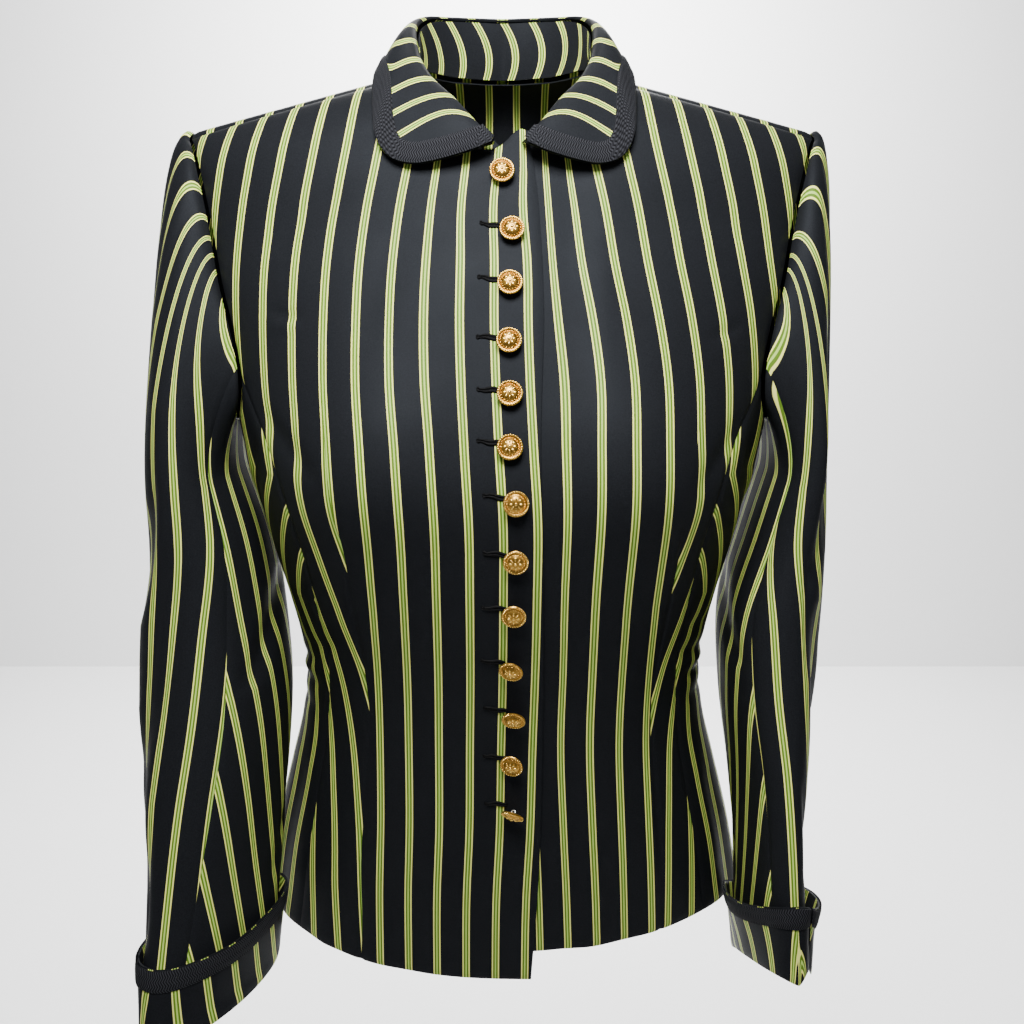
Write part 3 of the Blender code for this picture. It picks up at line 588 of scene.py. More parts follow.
@dataclass(frozen=True)
class Torso:
    """The jacket's body: its skin round the figure, and the panels cut from it.

    Args: sizes of the shoulder, bust and lap; where the stripes fan, drift, follow the lap and start; how
    soft the creases' ends are; and the grid counts of the panels and of the lines round them.
    """

    roll: float = 35 * MM
    seam_lean: float = math.radians(28)
    neck_side: float = 62 * MM
    neck_side_height: float = 4 * MM
    tip: float = 202 * MM
    tip_height: float = -31 * MM
    bust_out: float = 12 * MM
    bust_reach: float = 88 * MM
    bust_height: float = -228 * MM
    bust_spread: float = 46 * MM
    bust_tall: float = 58 * MM
    lap_step: float = 2.4 * MM
    lap_end: float = 64 * MM
    lap_slope: float = 26 * MM
    neck_front: float = -38 * MM
    side_front_top: float = -184 * MM
    side_back_top: float = -170 * MM
    dart_top: float = -262 * MM
    dart_width: float = 1.7 * MM
    dart_depth: float = 0.9 * MM
    dart_fade: float = 12 * MM
    crease_end: float = 0.35
    fan_share: float = 0.3
    fan_top: float = -240 * MM
    fan_fade: float = 80 * MM
    drift_from: float = 10 * MM
    drift_over: float = 50 * MM
    edge_stripes: float = 18 * MM
    edge_stripes_above: float = -130 * MM
    edge_line: float = 25 * MM
    right_phase: float = -1 * MM
    left_phase: float = 3 * MM
    side_phase: float = 3 * MM
    front_turns: float = 20.0
    tip_blend: float = 60 * MM
    turn_step: float = 0.4
    fine: int = 80
    shoulder_points: int = 60
    rows: tuple[int, int] = (118, 62)
    columns: int = 64
    right_dart: int = 39
    left_dart: int = 48
    side_columns: int = 56

    def section(self, name: str, height: Any, scale: float = MM) -> np.ndarray:
        """Args: name: a column; height: the level. Returns: its value there."""
        return SECTIONS.read(name, height, MM, scale)

    def square(self, height: Any, back: bool = False) -> np.ndarray:
        """Args: height: the level; back: on the back. Returns: how square the section is there."""
        return self.section("back_square" if back else "front_square", height, 1.0)

    def ridge(self, reach: Any) -> np.ndarray:
        """Args: reach: how far out. Returns: the height of the shoulder ridge there."""
        slope = (self.tip_height - self.neck_side_height) / (self.tip - self.neck_side)
        return self.neck_side_height + slope * (np.abs(reach) - self.neck_side)

    def turn_at(self, reach: Any, height: Any, back: bool = False) -> np.ndarray:
        """Args: reach, height: a place; back: on the back. Returns: its turn in degrees."""
        share = np.clip(np.abs(reach) / self.section("half_width", height), 0, 1)
        turn = np.degrees(np.arcsin(share ** (self.square(height, back) / 2))) * np.sign(reach)
        return 180 - turn if back else turn

    def reach_of(self, turn: Any, height: Any, back: bool = False) -> np.ndarray:
        """Args: turn, height: a place. Returns: how far out it lies."""
        wide = self.section("half_width", height)
        return wide * rounded(np.sin(np.radians(turn)), self.square(height, back))

    def skin(self, turn: Any, height: Any, bust: bool = True) -> np.ndarray:
        """Args: turn, height: round it and up its unrolled face. Returns: points of the outer face."""
        turn, height = np.broadcast_arrays(np.asarray(turn, dtype=float), np.asarray(height, dtype=float))
        back = turn > 90
        front_square = self.square(height)
        square = np.where(back, self.square(height, True), front_square)
        wide = self.section("half_width", height)
        reach = wide * rounded(np.sin(np.radians(turn)), square)
        below = self.ridge(reach) - height
        lean = np.minimum(below / self.roll - 1 + math.pi / 2, math.pi / 2)
        drop = np.where(below >= self.roll, below, self.roll * (1 - np.cos(lean)))
        share = np.clip(np.abs(reach) / wide, 0, 1)
        depth = np.where(back, self.section("back", height), self.section("front", height))
        depth = depth * np.abs(np.cos(np.radians(turn))) ** (2 / square)
        over_depth = self.section("front", height) * (1 - share**front_square) ** (1 / front_square)
        depth = np.where(back & (lean < 0), over_depth, depth) * np.sin(lean)
        level = self.ridge(reach) - drop
        spread = ((np.abs(reach) - self.bust_reach) / self.bust_spread) ** 2
        tall = ((level - self.bust_height) / self.bust_tall) ** 2
        swell = self.bust_out * np.exp(-spread - tall) * bust
        return np.stack([reach, np.where(back, depth, -depth - swell), level], axis=-1)

    def normal(self, turn: Any, height: Any) -> np.ndarray:
        """Args: turn, height: a place. Returns: the direction the face looks in there."""
        around = self.skin(turn + self.turn_step, height) - self.skin(turn - self.turn_step, height)
        up = self.skin(turn, height + MM) - self.skin(turn, height - MM)
        return unit(np.cross(around, up))

    def run(self, start: float, turn: np.ndarray, height: np.ndarray) -> np.ndarray:
        """Args: start: a turn; turn, height: places. Returns: the cloth's width from start to them."""
        share = np.linspace(0, 1, 33)[:, None, None]
        path = np.diff(self.skin(start + (turn - start) * share, height, bust=False), axis=0)
        taut = self.fan_share + (1 - self.fan_share) * np.clip((self.fan_top - height) / self.fan_fade, 0, 1)
        return np.sum(np.hypot(path[..., 0], path[..., 1] * taut), axis=0) * np.sign(turn - start)

    def crease(self, hand: Hand, turn: np.ndarray, height: np.ndarray) -> np.ndarray:
        """Args: hand, turn, height: places. Returns: how far its creases draw the cloth in."""
        total = np.zeros_like(turn)
        for turn_a, low, turn_b, high, width, depth in CREASES[hand].rows:
            line = np.array([(turn_b - turn_a) * DEGREE, (high - low) * MM])
            off = np.stack([(turn - turn_a) * DEGREE, height - low * MM], axis=-1)
            share = np.clip(off @ line / (line @ line), 0, 1)
            away = np.linalg.norm(off - share[..., None] * line, axis=-1) / (width * MM)
            ends = self.crease_end + (1 - self.crease_end) * np.sin(math.pi * share) ** 0.5
            total += depth * MM * np.exp(-(away**2)) * ends
        return total

    def hem(self, turn: Any, hand: Hand) -> np.ndarray:
        """Args: turn: round the hem; hand: its side. Returns: its height."""
        return HEM.read(hand.value, turn, 1.0, MM)

    def edge(self, hand: Hand, height: Any) -> np.ndarray:
        """Args: hand: the front; height: the level. Returns: its front edge's reach toward its own side."""
        name, away = ("lap_edge", -1) if hand is Hand.RIGHT else ("under_edge", 1)
        return away * FRONT_EDGES.read(name, height)

    def armhole(self, back: bool, bottom: float, count: int) -> np.ndarray:
        """Args: back: which edge; bottom: where it starts; count: points. Returns: reach and height up it."""
        top = ARMHOLE.rows[-1][0] * MM
        heights = np.linspace(bottom, top, 3 * self.fine)
        reach = ARMHOLE.read("back_reach" if back else "front_reach", heights)
        if back:
            lift = self.back_shoulder(self.tip) - top
            share = (heights + self.tip_blend) / (top + self.tip_blend)
            heights = heights + lift * np.clip(share, 0, 1) ** 2
        return even(np.stack([reach, heights], axis=1), count)

    def front_shoulder(self, reach: Any) -> np.ndarray:
        """Args: reach: how far out. Returns: the unrolled height of the shoulder seam in front."""
        return self.ridge(reach) - self.roll * (1 - math.pi / 2 + self.seam_lean)

    def back_shoulder(self, reach: Any) -> np.ndarray:
        """Args: reach: how far out. Returns: the seam's height on the back panel, which comes over."""
        return self.ridge(reach) - self.roll * (1 - math.pi / 2 - self.seam_lean)

    def dart_column(self, hand: Hand) -> int:
        """Args: hand: the front. Returns: the column of its grid that its dart runs along."""
        return self.right_dart if hand is Hand.RIGHT else self.left_dart

    def lower_rows(
        self, hand: Hand, left: np.ndarray, right: np.ndarray, top: float, dart: np.ndarray | None = None
    ) -> tuple[np.ndarray, np.ndarray]:
        """Args: hand; left, right, dart: turns of its lines; top: their end. Returns: turns and heights."""
        share = np.linspace(0, 1, len(left))[:, None]
        over = np.linspace(0, 1, self.columns)
        turn = left[:, None] * (1 - over) + right[:, None] * over
        if dart is not None:
            knots = (0, over[self.dart_column(hand)], 1)
            turn = np.array([np.interp(over, knots, row) for row in zip(left, dart, right)])
        return turn, self.hem(turn[0], hand)[None, :] * (1 - share) + top * share

    def front_grid(self, hand: Hand) -> tuple[np.ndarray, np.ndarray]:
        """Args: hand: which front. Returns: its turns and heights from hem to shoulder."""
        lower, upper = self.rows
        share = np.linspace(0, 1, lower)
        heights = self.hem(0, hand) * (1 - share) + self.side_front_top * share
        left = self.turn_at(self.edge(hand, heights), heights)
        seam = SEAMS.read("side_front", share, 1.0, 1.0)
        dart = DARTS.read(hand.value + "_turn", heights, MM, 1.0)
        turn, height = self.lower_rows(hand, left, seam, self.side_front_top, dart)
        over = np.linspace(self.edge(hand, self.neck_front), self.neck_side, self.fine)
        neck = np.stack([over, NECKLINE.read("front_height", over)], axis=1)
        shoulder = np.linspace(self.neck_side, self.tip, self.shoulder_points)[1:]
        shoulder = np.stack([shoulder, self.front_shoulder(shoulder)], axis=1)
        top = even(np.concatenate([neck, shoulder]), self.columns)
        top[np.argmin(np.abs(top[:, 0] - self.neck_side))] = neck[-1]
        right = self.armhole(False, self.side_front_top, upper)
        right[0, 0] = self.reach_of(turn[-1, -1], self.side_front_top)
        top[-1] = right[-1]
        bottom = np.stack([self.reach_of(turn[-1], height[-1]), height[-1]], axis=1)
        edge_heights = np.linspace(self.side_front_top, top[0, 1], upper)
        left_edge = np.stack([self.edge(hand, edge_heights), edge_heights], axis=1)
        left_edge[0], left_edge[-1] = bottom[0], top[0]
        patch = coons(bottom, top, left_edge, right)[1:]
        turn = np.concatenate([turn, self.turn_at(patch[..., 0], patch[..., 1])])
        return turn, np.concatenate([height, patch[..., 1]])

    def back_grid(self, hand: Hand) -> tuple[np.ndarray, np.ndarray]:
        """Args: hand: which back. Returns: its turns and heights from hem to shoulder."""
        lower, upper = self.rows
        share = np.linspace(0, 1, lower)
        right = SEAMS.read("side_back", share, 1.0, 1.0)
        turn, height = self.lower_rows(hand, np.full(lower, 180.0), right, self.side_back_top)
        over = np.linspace(0, self.neck_side, self.fine)
        neck = np.stack([over, NECKLINE.read("back_height", over)], axis=1)
        shoulder = np.linspace(self.neck_side, self.tip, self.shoulder_points)
        shoulder = np.stack([shoulder, self.back_shoulder(shoulder)], axis=1)
        top = even(np.concatenate([neck[:-1], shoulder]), self.columns)
        top[np.argmin(np.abs(top[:, 0] - self.neck_side))] = shoulder[0]
        edge = self.armhole(True, self.side_back_top, upper)
        top[-1] = edge[-1]
        bottom = np.stack([np.abs(self.reach_of(180 - turn[-1], height[-1], back=True)), height[-1]], axis=1)
        edge[0] = bottom[-1]
        left = np.stack([np.zeros(upper), np.linspace(self.side_back_top, top[0, 1], upper)], axis=1)
        patch = coons(bottom, top, left, edge)[1:]
        turn = np.concatenate([turn, self.turn_at(np.maximum(patch[..., 0], 0), patch[..., 1], back=True)])
        return turn, np.concatenate([height, patch[..., 1]])

    def side_grid(self, hand: Hand) -> tuple[np.ndarray, np.ndarray]:
        """Args: hand: which side panel. Returns: its turns and heights up to the armhole."""
        share = np.linspace(0, 1, self.rows[0])
        left = SEAMS.read("side_front", share, 1.0, 1.0)
        right = SEAMS.read("side_back", share, 1.0, 1.0)
        foot = ARMHOLE.rows[0][0] * MM
        falling = np.linspace(self.side_front_top, foot, self.fine)
        front = self.turn_at(ARMHOLE.read("front_reach", falling), falling)
        front[0], front[-1] = left[-1], 90
        rising = np.linspace(foot, self.side_back_top, self.fine)
        back = self.turn_at(ARMHOLE.read("back_reach", rising), rising, back=True)
        back[0], back[-1] = 90, right[-1]
        top = np.concatenate(
            [np.stack([front * DEGREE, falling], axis=1), np.stack([back * DEGREE, rising], axis=1)[1:]]
        )
        top = even(top, self.side_columns)
        turns = np.linspace(left[0], right[0], self.side_columns)
        bottom = np.stack([turns * DEGREE, self.hem(turns, hand)], axis=1)
        left_heights = self.hem(left[0], hand) * (1 - share) + self.side_front_top * share
        right_heights = self.hem(right[0], hand) * (1 - share) + self.side_back_top * share
        patch = coons(
            bottom,
            top,
            np.stack([left * DEGREE, left_heights], axis=1),
            np.stack([right * DEGREE, right_heights], axis=1),
        )
        return patch[..., 0] / DEGREE, patch[..., 1]

    def cloth(self, hand: Hand, turn: np.ndarray, height: np.ndarray, across: np.ndarray) -> ClothGrid:
        """Args: hand; turn, height: the panel; across: its measure. Returns: the creased panel."""
        normals = self.normal(turn, height)
        depth = self.crease(hand, turn, height)
        front = turn.min() < self.front_turns
        if front:
            dart = DARTS.read(hand.value + "_turn", height, MM, 1.0)
            below = np.clip((self.dart_top - height) / self.dart_fade, 0, 1)
            away = (turn - dart) * DEGREE / self.dart_width
            depth = depth + self.dart_depth * below * np.exp(-(away**2))
        points = self.skin(turn, height) - normals * depth[..., None]
        if front and hand is Hand.LEFT:
            share = np.clip((self.lap_end - points[..., 0]) / self.lap_slope, 0, 1)
            points = points - normals * (self.lap_step * ease(share))[..., None]
        return ClothGrid(points, normals, across / STRIPE_PITCH, height / STRIPE_PITCH)

    def front(self, hand: Hand) -> ClothGrid:
        """Args: hand: which front. Returns: it, its stripes broken by the dart."""
        turn, height = self.front_grid(hand)
        across = self.run(0.0, turn, height) + (self.right_phase if hand is Hand.RIGHT else self.left_phase)
        far = np.clip((across - self.drift_from) / self.drift_over, 0, 1)
        near = DRIFT.read(hand.value, height)
        across = across + near + (DRIFT.read(hand.value + "_far", height) - near) * ease(far)
        if hand is Hand.RIGHT:
            lap = np.clip(-across / self.edge_stripes, 0, 1) * (height > self.edge_stripes_above)
            across = across - lap * (self.edge_line + self.edge(hand, height))
        grid = self.cloth(hand, turn, height, across)
        grid.dart_column = self.dart_column(hand)
        grid.dart_intake = DARTS.read("intake", height[:, grid.dart_column]) / STRIPE_PITCH
        return grid

    def back(self, hand: Hand) -> ClothGrid:
        """Args: hand: which back. Returns: it, its stripes measured from centre back."""
        turn, height = self.back_grid(hand)
        return self.cloth(hand, turn, height, self.run(180.0, turn, height) + STRIPE_PITCH / 2)

    def flank(self, hand: Hand) -> ClothGrid:
        """Args: hand: which side panel. Returns: it, its stripes measured from its middle."""
        turn, height = self.side_grid(hand)
        return self.cloth(hand, turn, height, self.run(90.0, turn, height) + self.side_phase)


@dataclass(frozen=True)
class Sleeve:
    """One two-piece sleeve with its turned-back cuff.

    Args: hand: its side; torso: the body it is set into; upper, opening: from which turn to which the
    upper panel and the cuff's notch reach; the rest: sizes of its head and cuff, and grid counts.
    """

    hand: Hand
    torso: Torso
    square: float = 2.25
    armhole_step: float = 1.2 * MM
    head_out: float = 0.12
    crown_out: float = 0.20
    head_forward: float = 0.35
    crown_rise: float = 54.4 * MM
    upper: tuple[float, float] = (-42.0, 212.0)
    flare_power: float = 1.3
    cuff_step: float = 20 * MM
    quarter: int = 120
    upper_columns: int = 84
    under_columns: int = 36
    cuff_counts: tuple[int, int] = (150, 22)
    braid_rows: int = 9
    head_rows: int = 36
    arm_rows: int = 128
    opening: tuple[float, float] = (22.0, 28.0)
    stand_off: float = 0.9 * MM
    braid_wall: float = 1.2 * MM
    braid_start: float = 0.72

    def armhole_loop(self, turns: np.ndarray) -> np.ndarray:
        """Args: turns: 0 in front, 90 the tip, 180 behind. Returns: points of the armhole."""
        torso, quarter = self.torso, self.quarter
        foot, tip = ARMHOLE.rows[0][0] * MM, ARMHOLE.rows[-1][0] * MM
        heights = np.linspace(tip, foot, 2 * quarter + 1)
        front = torso.skin(torso.turn_at(ARMHOLE.read("front_reach", heights), heights), heights)
        edge = torso.armhole(True, foot, 2 * quarter + 1)
        rear = torso.skin(torso.turn_at(edge[:, 0], edge[:, 1], back=True), edge[:, 1])
        first, last = slice(None, quarter + 1), slice(quarter, None)
        stretches = (front[first], rear[last], rear[first], front[last])
        loop = np.concatenate([even(stretch[::-1], quarter + 1)[:-1] for stretch in stretches])
        loop = np.concatenate([loop, loop[:1]])
        at = np.mod(turns, 360) * (4 * quarter / 360)
        return np.stack([np.interp(at, np.arange(len(loop)), loop[:, axis]) for axis in range(3)], axis=-1)

    def point(self, share: Any, turn: Any) -> np.ndarray:
        """Args: share: down the arm; turn: round it. Returns: the outer face there."""
        table = SLEEVES[self.hand]
        heights = table.column("height")
        at = heights[0] + (heights[-1] - heights[0]) * share

        def value(name: str, scale: float = MM) -> np.ndarray:
            return smooth(-at, -heights, table.column(name, scale))

        angle = np.radians(turn)
        deep = value("half_depth") * rounded(np.cos(angle), self.square)
        wide = value("half_width") * rounded(np.sin(angle), self.square)
        swing, tilt = np.radians(value("turn", 1.0)), np.radians(value("tilt", 1.0))
        ahead = deep * np.cos(tilt)
        reach = value("out") + ahead * np.sin(swing) + wide * np.cos(swing)
        across = -value("forward") - ahead * np.cos(swing) + wide * np.sin(swing)
        return np.stack([reach, across, at + deep * np.sin(tilt)], axis=-1)

    def fold(self, share: np.ndarray, turn: np.ndarray) -> np.ndarray:
        """Args: share, turn: places. Returns: how far the folds draw the cloth in there."""
        total = np.zeros(np.broadcast(share, turn).shape)
        for share_a, turn_a, share_b, turn_b, width, depth in FOLDS[self.hand].rows:
            along = (share - share_a) / (share_b - share_a)
            line = turn_a + (turn_b - turn_a) * np.clip(along, 0, 1)
            off = (np.mod(turn - line + 180, 360) - 180) / width
            ends = np.clip(1 - np.abs(2 * along - 1) ** 3, 0, 1) * (np.abs(2 * along - 1) <= 1)
            total += depth * MM * np.exp(-(off**2)) * ends
        return total

    def whole(self, turns: np.ndarray) -> tuple[np.ndarray, np.ndarray]:
        """Args: turns: round it. Returns: the smooth sleeve and its outward normals."""
        start = self.armhole_loop(turns) + np.array([self.armhole_step, 0, 0])
        end = self.point(0.0, turns)
        fall = unit(self.point(0.04, turns) - end)
        gap = np.linalg.norm(end - start, axis=-1, keepdims=True)
        crown = np.clip(np.sin(np.radians(turns)), 0, 1)[:, None]
        ahead = np.cos(np.radians(turns))[:, None]
        lead = np.concatenate(
            [
                (self.head_out + self.crown_out * crown) * gap,
                -self.head_forward * ahead * gap,
                self.crown_rise * crown,
            ],
            axis=1,
        )
        share = np.linspace(0, 1, self.head_rows)[:, None, None]
        head = (
            start * (2 * share**3 - 3 * share**2 + 1)
            + lead * (share**3 - 2 * share**2 + share)
            + end * (3 * share**2 - 2 * share**3)
            + fall * gap * (share**3 - share**2)
        )
        below = np.linspace(0, 1, self.arm_rows)[1:, None]
        grid = np.concatenate([head, self.point(below, turns[None, :])])
        normals = unit(np.cross(np.gradient(grid, axis=0), np.gradient(grid, axis=1)))
        centre = np.mean(self.point(np.zeros((1, 1)), np.arange(0, 360, 10)[None, :]), axis=1)
        side = np.sign(np.sum(normals[self.head_rows] * (grid[self.head_rows] - centre), axis=-1))
        return grid, normals * np.sign(np.sum(side))

    def panel(self, turns: np.ndarray) -> ClothGrid:
        """Args: turns: from one seam to the other. Returns: the panel with its folds and stripes."""
        grid, normals = self.whole(turns)
        along = np.linspace(0, 1, len(grid))[:, None]
        crown = np.abs(np.mod(turns + 180, 360) - 180 - 90).argmin()
        flat = np.linalg.norm(np.diff(grid, axis=1)[..., :2], axis=-1)
        run = np.concatenate([np.zeros((len(grid), 1)), np.cumsum(flat, axis=1)], axis=1)
        join = self.head_rows - 1
        table = SLEEVES[self.hand]
        heights = table.column("height")
        arm = np.clip((np.arange(len(grid)) - self.head_rows + 1) / (self.arm_rows - 1), 0, 1)
        level = heights[0] + (heights[-1] - heights[0]) * arm
        offset = smooth(-level, -heights, table.column("stripe"))
        ring = grid[join, :, :2]
        toward = unit(np.gradient(ring, axis=0))
        if turns[0] < 0 < turns[-1]:
            across = run - np.array([np.interp(0.0, turns, row) for row in run])[:, None] - offset[:, None]
        else:
            swing = (grid[:, -1, :2] - ring[-1]) @ toward[-1]
            across = run - run[:, -1:] + swing[:, None]
        across[:join] = across[join] + np.sum((grid[:join, :, :2] - ring) * toward, axis=-1)
        lengthwise = walked(grid[:, crown])[:, None] / STRIPE_PITCH
        points = grid - normals * self.fold(along, turns[None, :])[..., None]
        across = across / STRIPE_PITCH
        return ClothGrid(points, normals, across, np.broadcast_to(lengthwise, across.shape))

    def band(self, turns: np.ndarray, shares: np.ndarray, lift: float) -> ClothGrid:
        """Args: turns, shares: round and up the cuff; lift: off it. Returns: that band of the cuff."""
        cuff, table = CUFFS[self.hand], SLEEVES[self.hand]
        share = shares[:, None]
        around = np.mod(turns, 360)
        top, bottom, flare = (cuff.read(name, around, 1.0)[None, :] for name in ("top", "bottom", "flare"))
        up = bottom * (1 - share) + top * share
        heights = table.column("height")
        length = heights[0] - heights[-1]
        low_ring = self.point(1.0, turns)
        base = self.point(1 - np.maximum(up, 0) / length, turns[None, :])
        out = base - np.mean(low_ring, axis=0)
        out[..., 2] = 0
        out = unit(out)
        axis = unit(np.mean(self.point(1 - self.cuff_step / length, turns) - low_ring, axis=0))
        base = base + axis * np.minimum(up, 0)[..., None]
        swell = CLOTH + self.stand_off + flare * share**self.flare_power + lift
        points = base + out * swell[..., None]
        middle = points[len(shares) // 2]
        steps = np.gradient(middle, axis=0)
        run = np.cumsum(np.linalg.norm(steps, axis=-1))
        across = run + np.sum((points - middle) * unit(steps), axis=-1)
        return ClothGrid(points, out, across / STRIPE_PITCH, up / STRIPE_PITCH)

    def build(self, tailor: Tailor, cloth: Look, braid: Look) -> None:
        """Args: tailor: who sews it; cloth, braid: its materials."""
        hand = self.hand.value
        start, stop = self.upper
        for name, turns, cut in (
            ("upper", np.linspace(start, stop, self.upper_columns), Cut(0.26, 0.56, 0.108)),
            ("under", np.linspace(stop, start + 360, self.under_columns), Cut(0.13, 0.44, 0.045)),
        ):
            node = f"sleeve_{name}_{hand}"
            piece = tailor.shell(node + "_cloth", self.panel(turns), cloth, CLOTH, self.hand.side)
            tailor.declare(piece, node)
        around, up = self.cuff_counts
        turns = np.linspace(self.opening[1], self.opening[0] + 360, around)
        cuff = self.band(turns, np.linspace(0, 1, up), 0.0)
        piece = tailor.shell(f"cuff_{hand}_cloth", cuff, cloth, CLOTH, self.hand.side)
        tailor.declare(piece, f"cuff_{hand}")
        shares = np.linspace(self.braid_start, 1, self.braid_rows)
        tape = self.band(turns, shares, SEAM_GAP + self.braid_wall)
        piece = tailor.shell(f"cuff_braid_{hand}_tape", tape, braid, self.braid_wall, self.hand.side)
        tailor.declare(piece, f"cuff_braid_{hand}")


@dataclass(frozen=True)
class Collar:
    """The stand, the turned-down fall and the braid along its edge.

    Args: torso: whose neckline it is on; the rest: its walls and crest, the shift of its right end, its
    gaps to the stand, its grid counts, and how its stripes start and lead round it.
    """

    torso: Torso
    wall: float = 2.0 * MM
    braid_wall: float = 1.2 * MM
    crest_out: float = 0.21
    crest_up: float = 0.12
    braid_width: float = 13 * MM
    end_shift: float = 5 * MM
    shift_power: float = 1.5
    stand_step: float = 1.8 * MM
    stand_gap: float = 1.2 * MM
    fold_gap: float = 0.2 * MM
    columns: int = 200
    rows: int = 30
    stand_rows: int = 14
    first_stripe: float = 1.05
    first_place: float = 0.15
    lead_share: float = 0.8
    lead_power: float = 2.2

    def line(self, name: str) -> np.ndarray:
        """Args: name: fold or edge. Returns: that whole line, right end to left."""
        half = np.stack([COLLAR.column(f"{name}_{axis}") for axis in "xyz"], axis=1)
        shift = np.array([self.end_shift, 0, 0]) * np.linspace(1, 0, len(half))[:, None] ** self.shift_power
        points = np.concatenate([half * np.array([-1, 1, 1]) + shift, (half + shift)[::-1][1:]])
        known = np.arange(len(points), dtype=float)
        at = np.linspace(0, len(points) - 1, self.columns)
        return np.stack([smooth(at, known, points[:, axis]) for axis in range(3)], axis=1)

    def place(self) -> np.ndarray:
        """Returns: each column's place, from 0 at either front end to the row count at centre back."""
        last = len(COLLAR.rows) - 1
        return last - np.abs(np.linspace(-last, last, self.columns))

    def fall(self, low: np.ndarray, high: float) -> tuple[np.ndarray, np.ndarray]:
        """Args: low, high: shares of its width. Returns: that band and its shares."""
        fold = self.line("fold")
        edge = self.line("edge")
        out = edge - fold
        width = np.linalg.norm(out, axis=1, keepdims=True)
        out = unit(out * np.array([1, 1, 0]))
        crest = fold + out * width * self.crest_out + np.array([0, 0, 1.0]) * width * self.crest_up
        share = np.linspace(0, 1, self.rows)[:, None]
        share = low[None, :] * (1 - share) + high * share
        across = share[..., None]
        inward = fold - out * self.fold_gap
        curve = inward * (1 - across) ** 2 + 2 * crest * across * (1 - across) + edge * across**2
        return curve, share

    def measured(self, points: np.ndarray, share: np.ndarray) -> ClothGrid:
        """Args: points: a band; share: its shares. Returns: it with the stripes' measure."""
        normals = unit(np.cross(np.gradient(points, axis=0), np.gradient(points, axis=1)))
        normals = normals * np.sign(np.sum(normals[..., 2]))
        place = np.broadcast_to(self.place()[None, :], share.shape)
        lead = COLLAR_LINES.read("lead", place, 1.0, 1.0)
        source = np.maximum(place - lead * (share / self.lead_share) ** self.lead_power, self.first_place)
        fold = self.line("fold")
        half = self.columns // 2
        run = walked(fold[:half])
        known = self.place()[:half]
        across = np.interp(source, known, run) - np.interp(self.first_stripe, known, run)
        width = np.cumsum(np.linalg.norm(np.gradient(points, axis=0), axis=-1), axis=0)
        return ClothGrid(points, normals, across / STRIPE_PITCH, width / STRIPE_PITCH)

    def neckline(self, fold: np.ndarray) -> np.ndarray:
        """Args: fold: the collar's fold. Returns: the neckline's point below each point of it."""
        over = np.linspace(0, self.torso.neck_side, 120)
        sides = []
        for name, back in (("front_height", False), ("back_height", True)):
            heights = NECKLINE.read(name, over)
            sides.append(self.torso.skin(self.torso.turn_at(over, heights, back=back), heights))
        line = np.concatenate([sides[0], sides[1][::-1]])
        bearing = np.arctan2(line[:, 0], -line[:, 1])
        order = np.argsort(bearing)
        toward = np.arctan2(np.abs(fold[:, 0]), -fold[:, 1])
        found = [np.interp(toward, bearing[order], line[order, axis]) for axis in range(3)]
        found[0] = found[0] * np.sign(fold[:, 0])
        return np.stack(found, axis=1) + np.array([0, 0, self.stand_step])

    def stand(self) -> ClothGrid:
        """Returns: the stand, from the neckline up to the fold."""
        fold = self.line("fold")
        share = np.linspace(0, 1, self.stand_rows)[:, None, None]
        top = fold - np.array([0, 0, self.wall + self.stand_gap])
        points = self.neckline(fold) * (1 - share) + top * share
        away = unit(np.cross(np.gradient(points, axis=1), np.gradient(points, axis=0)))
        away = away * np.sign(away[self.stand_rows // 2, self.columns // 2, 1])
        run = np.cumsum(np.linalg.norm(np.gradient(points, axis=1), axis=-1), axis=1)
        return ClothGrid(points, away, run / STRIPE_PITCH, np.broadcast_to(share[..., 0], run.shape))

    def braid_starts(self) -> np.ndarray:
        """Returns: the share of the fall's width at which the braid starts, column by column."""
        curve, share = self.fall(np.zeros(self.columns), 1.0)
        away = np.linalg.norm(curve[:, :, None] - curve[-1][None, None], axis=-1).min(axis=2)
        return np.array([np.interp(-self.braid_width, -gap, row) for gap, row in zip(away.T, share.T)])

    def build(self, tailor: Tailor, cloth: Look, braid: Look) -> None:
        """Args: tailor: who sews it; cloth, braid: its materials."""
        centre = Hand.LEFT.side
        fall = self.measured(*self.fall(np.zeros(self.columns), 1.0))
        piece = tailor.shell("collar_fall_cloth", fall, cloth, self.wall, centre)
        tailor.declare(piece, "collar_fall")
        tape = self.measured(*self.fall(self.braid_starts(), 1.0))
        tape.points = tape.points + tape.normals * (SEAM_GAP + self.braid_wall)
        steps = np.linalg.norm(np.gradient(tape.points[-1], axis=0), axis=-1)
        tape.across = np.broadcast_to(np.cumsum(steps) / STRIPE_PITCH, tape.across.shape)
        piece = tailor.shell("collar_braid_tape", tape, braid, self.braid_wall, centre)
        tailor.declare(piece, "collar_braid")
        piece = tailor.shell("collar_stand_cloth", self.stand(), cloth, CLOTH, centre)
        tailor.declare(piece, "collar_stand")


@dataclass(frozen=True)
class Seat:
    """A button's place on the lapping front. Args: foot: its lowest point; axis: the way it faces."""

    foot: np.ndarray
    axis: np.ndarray


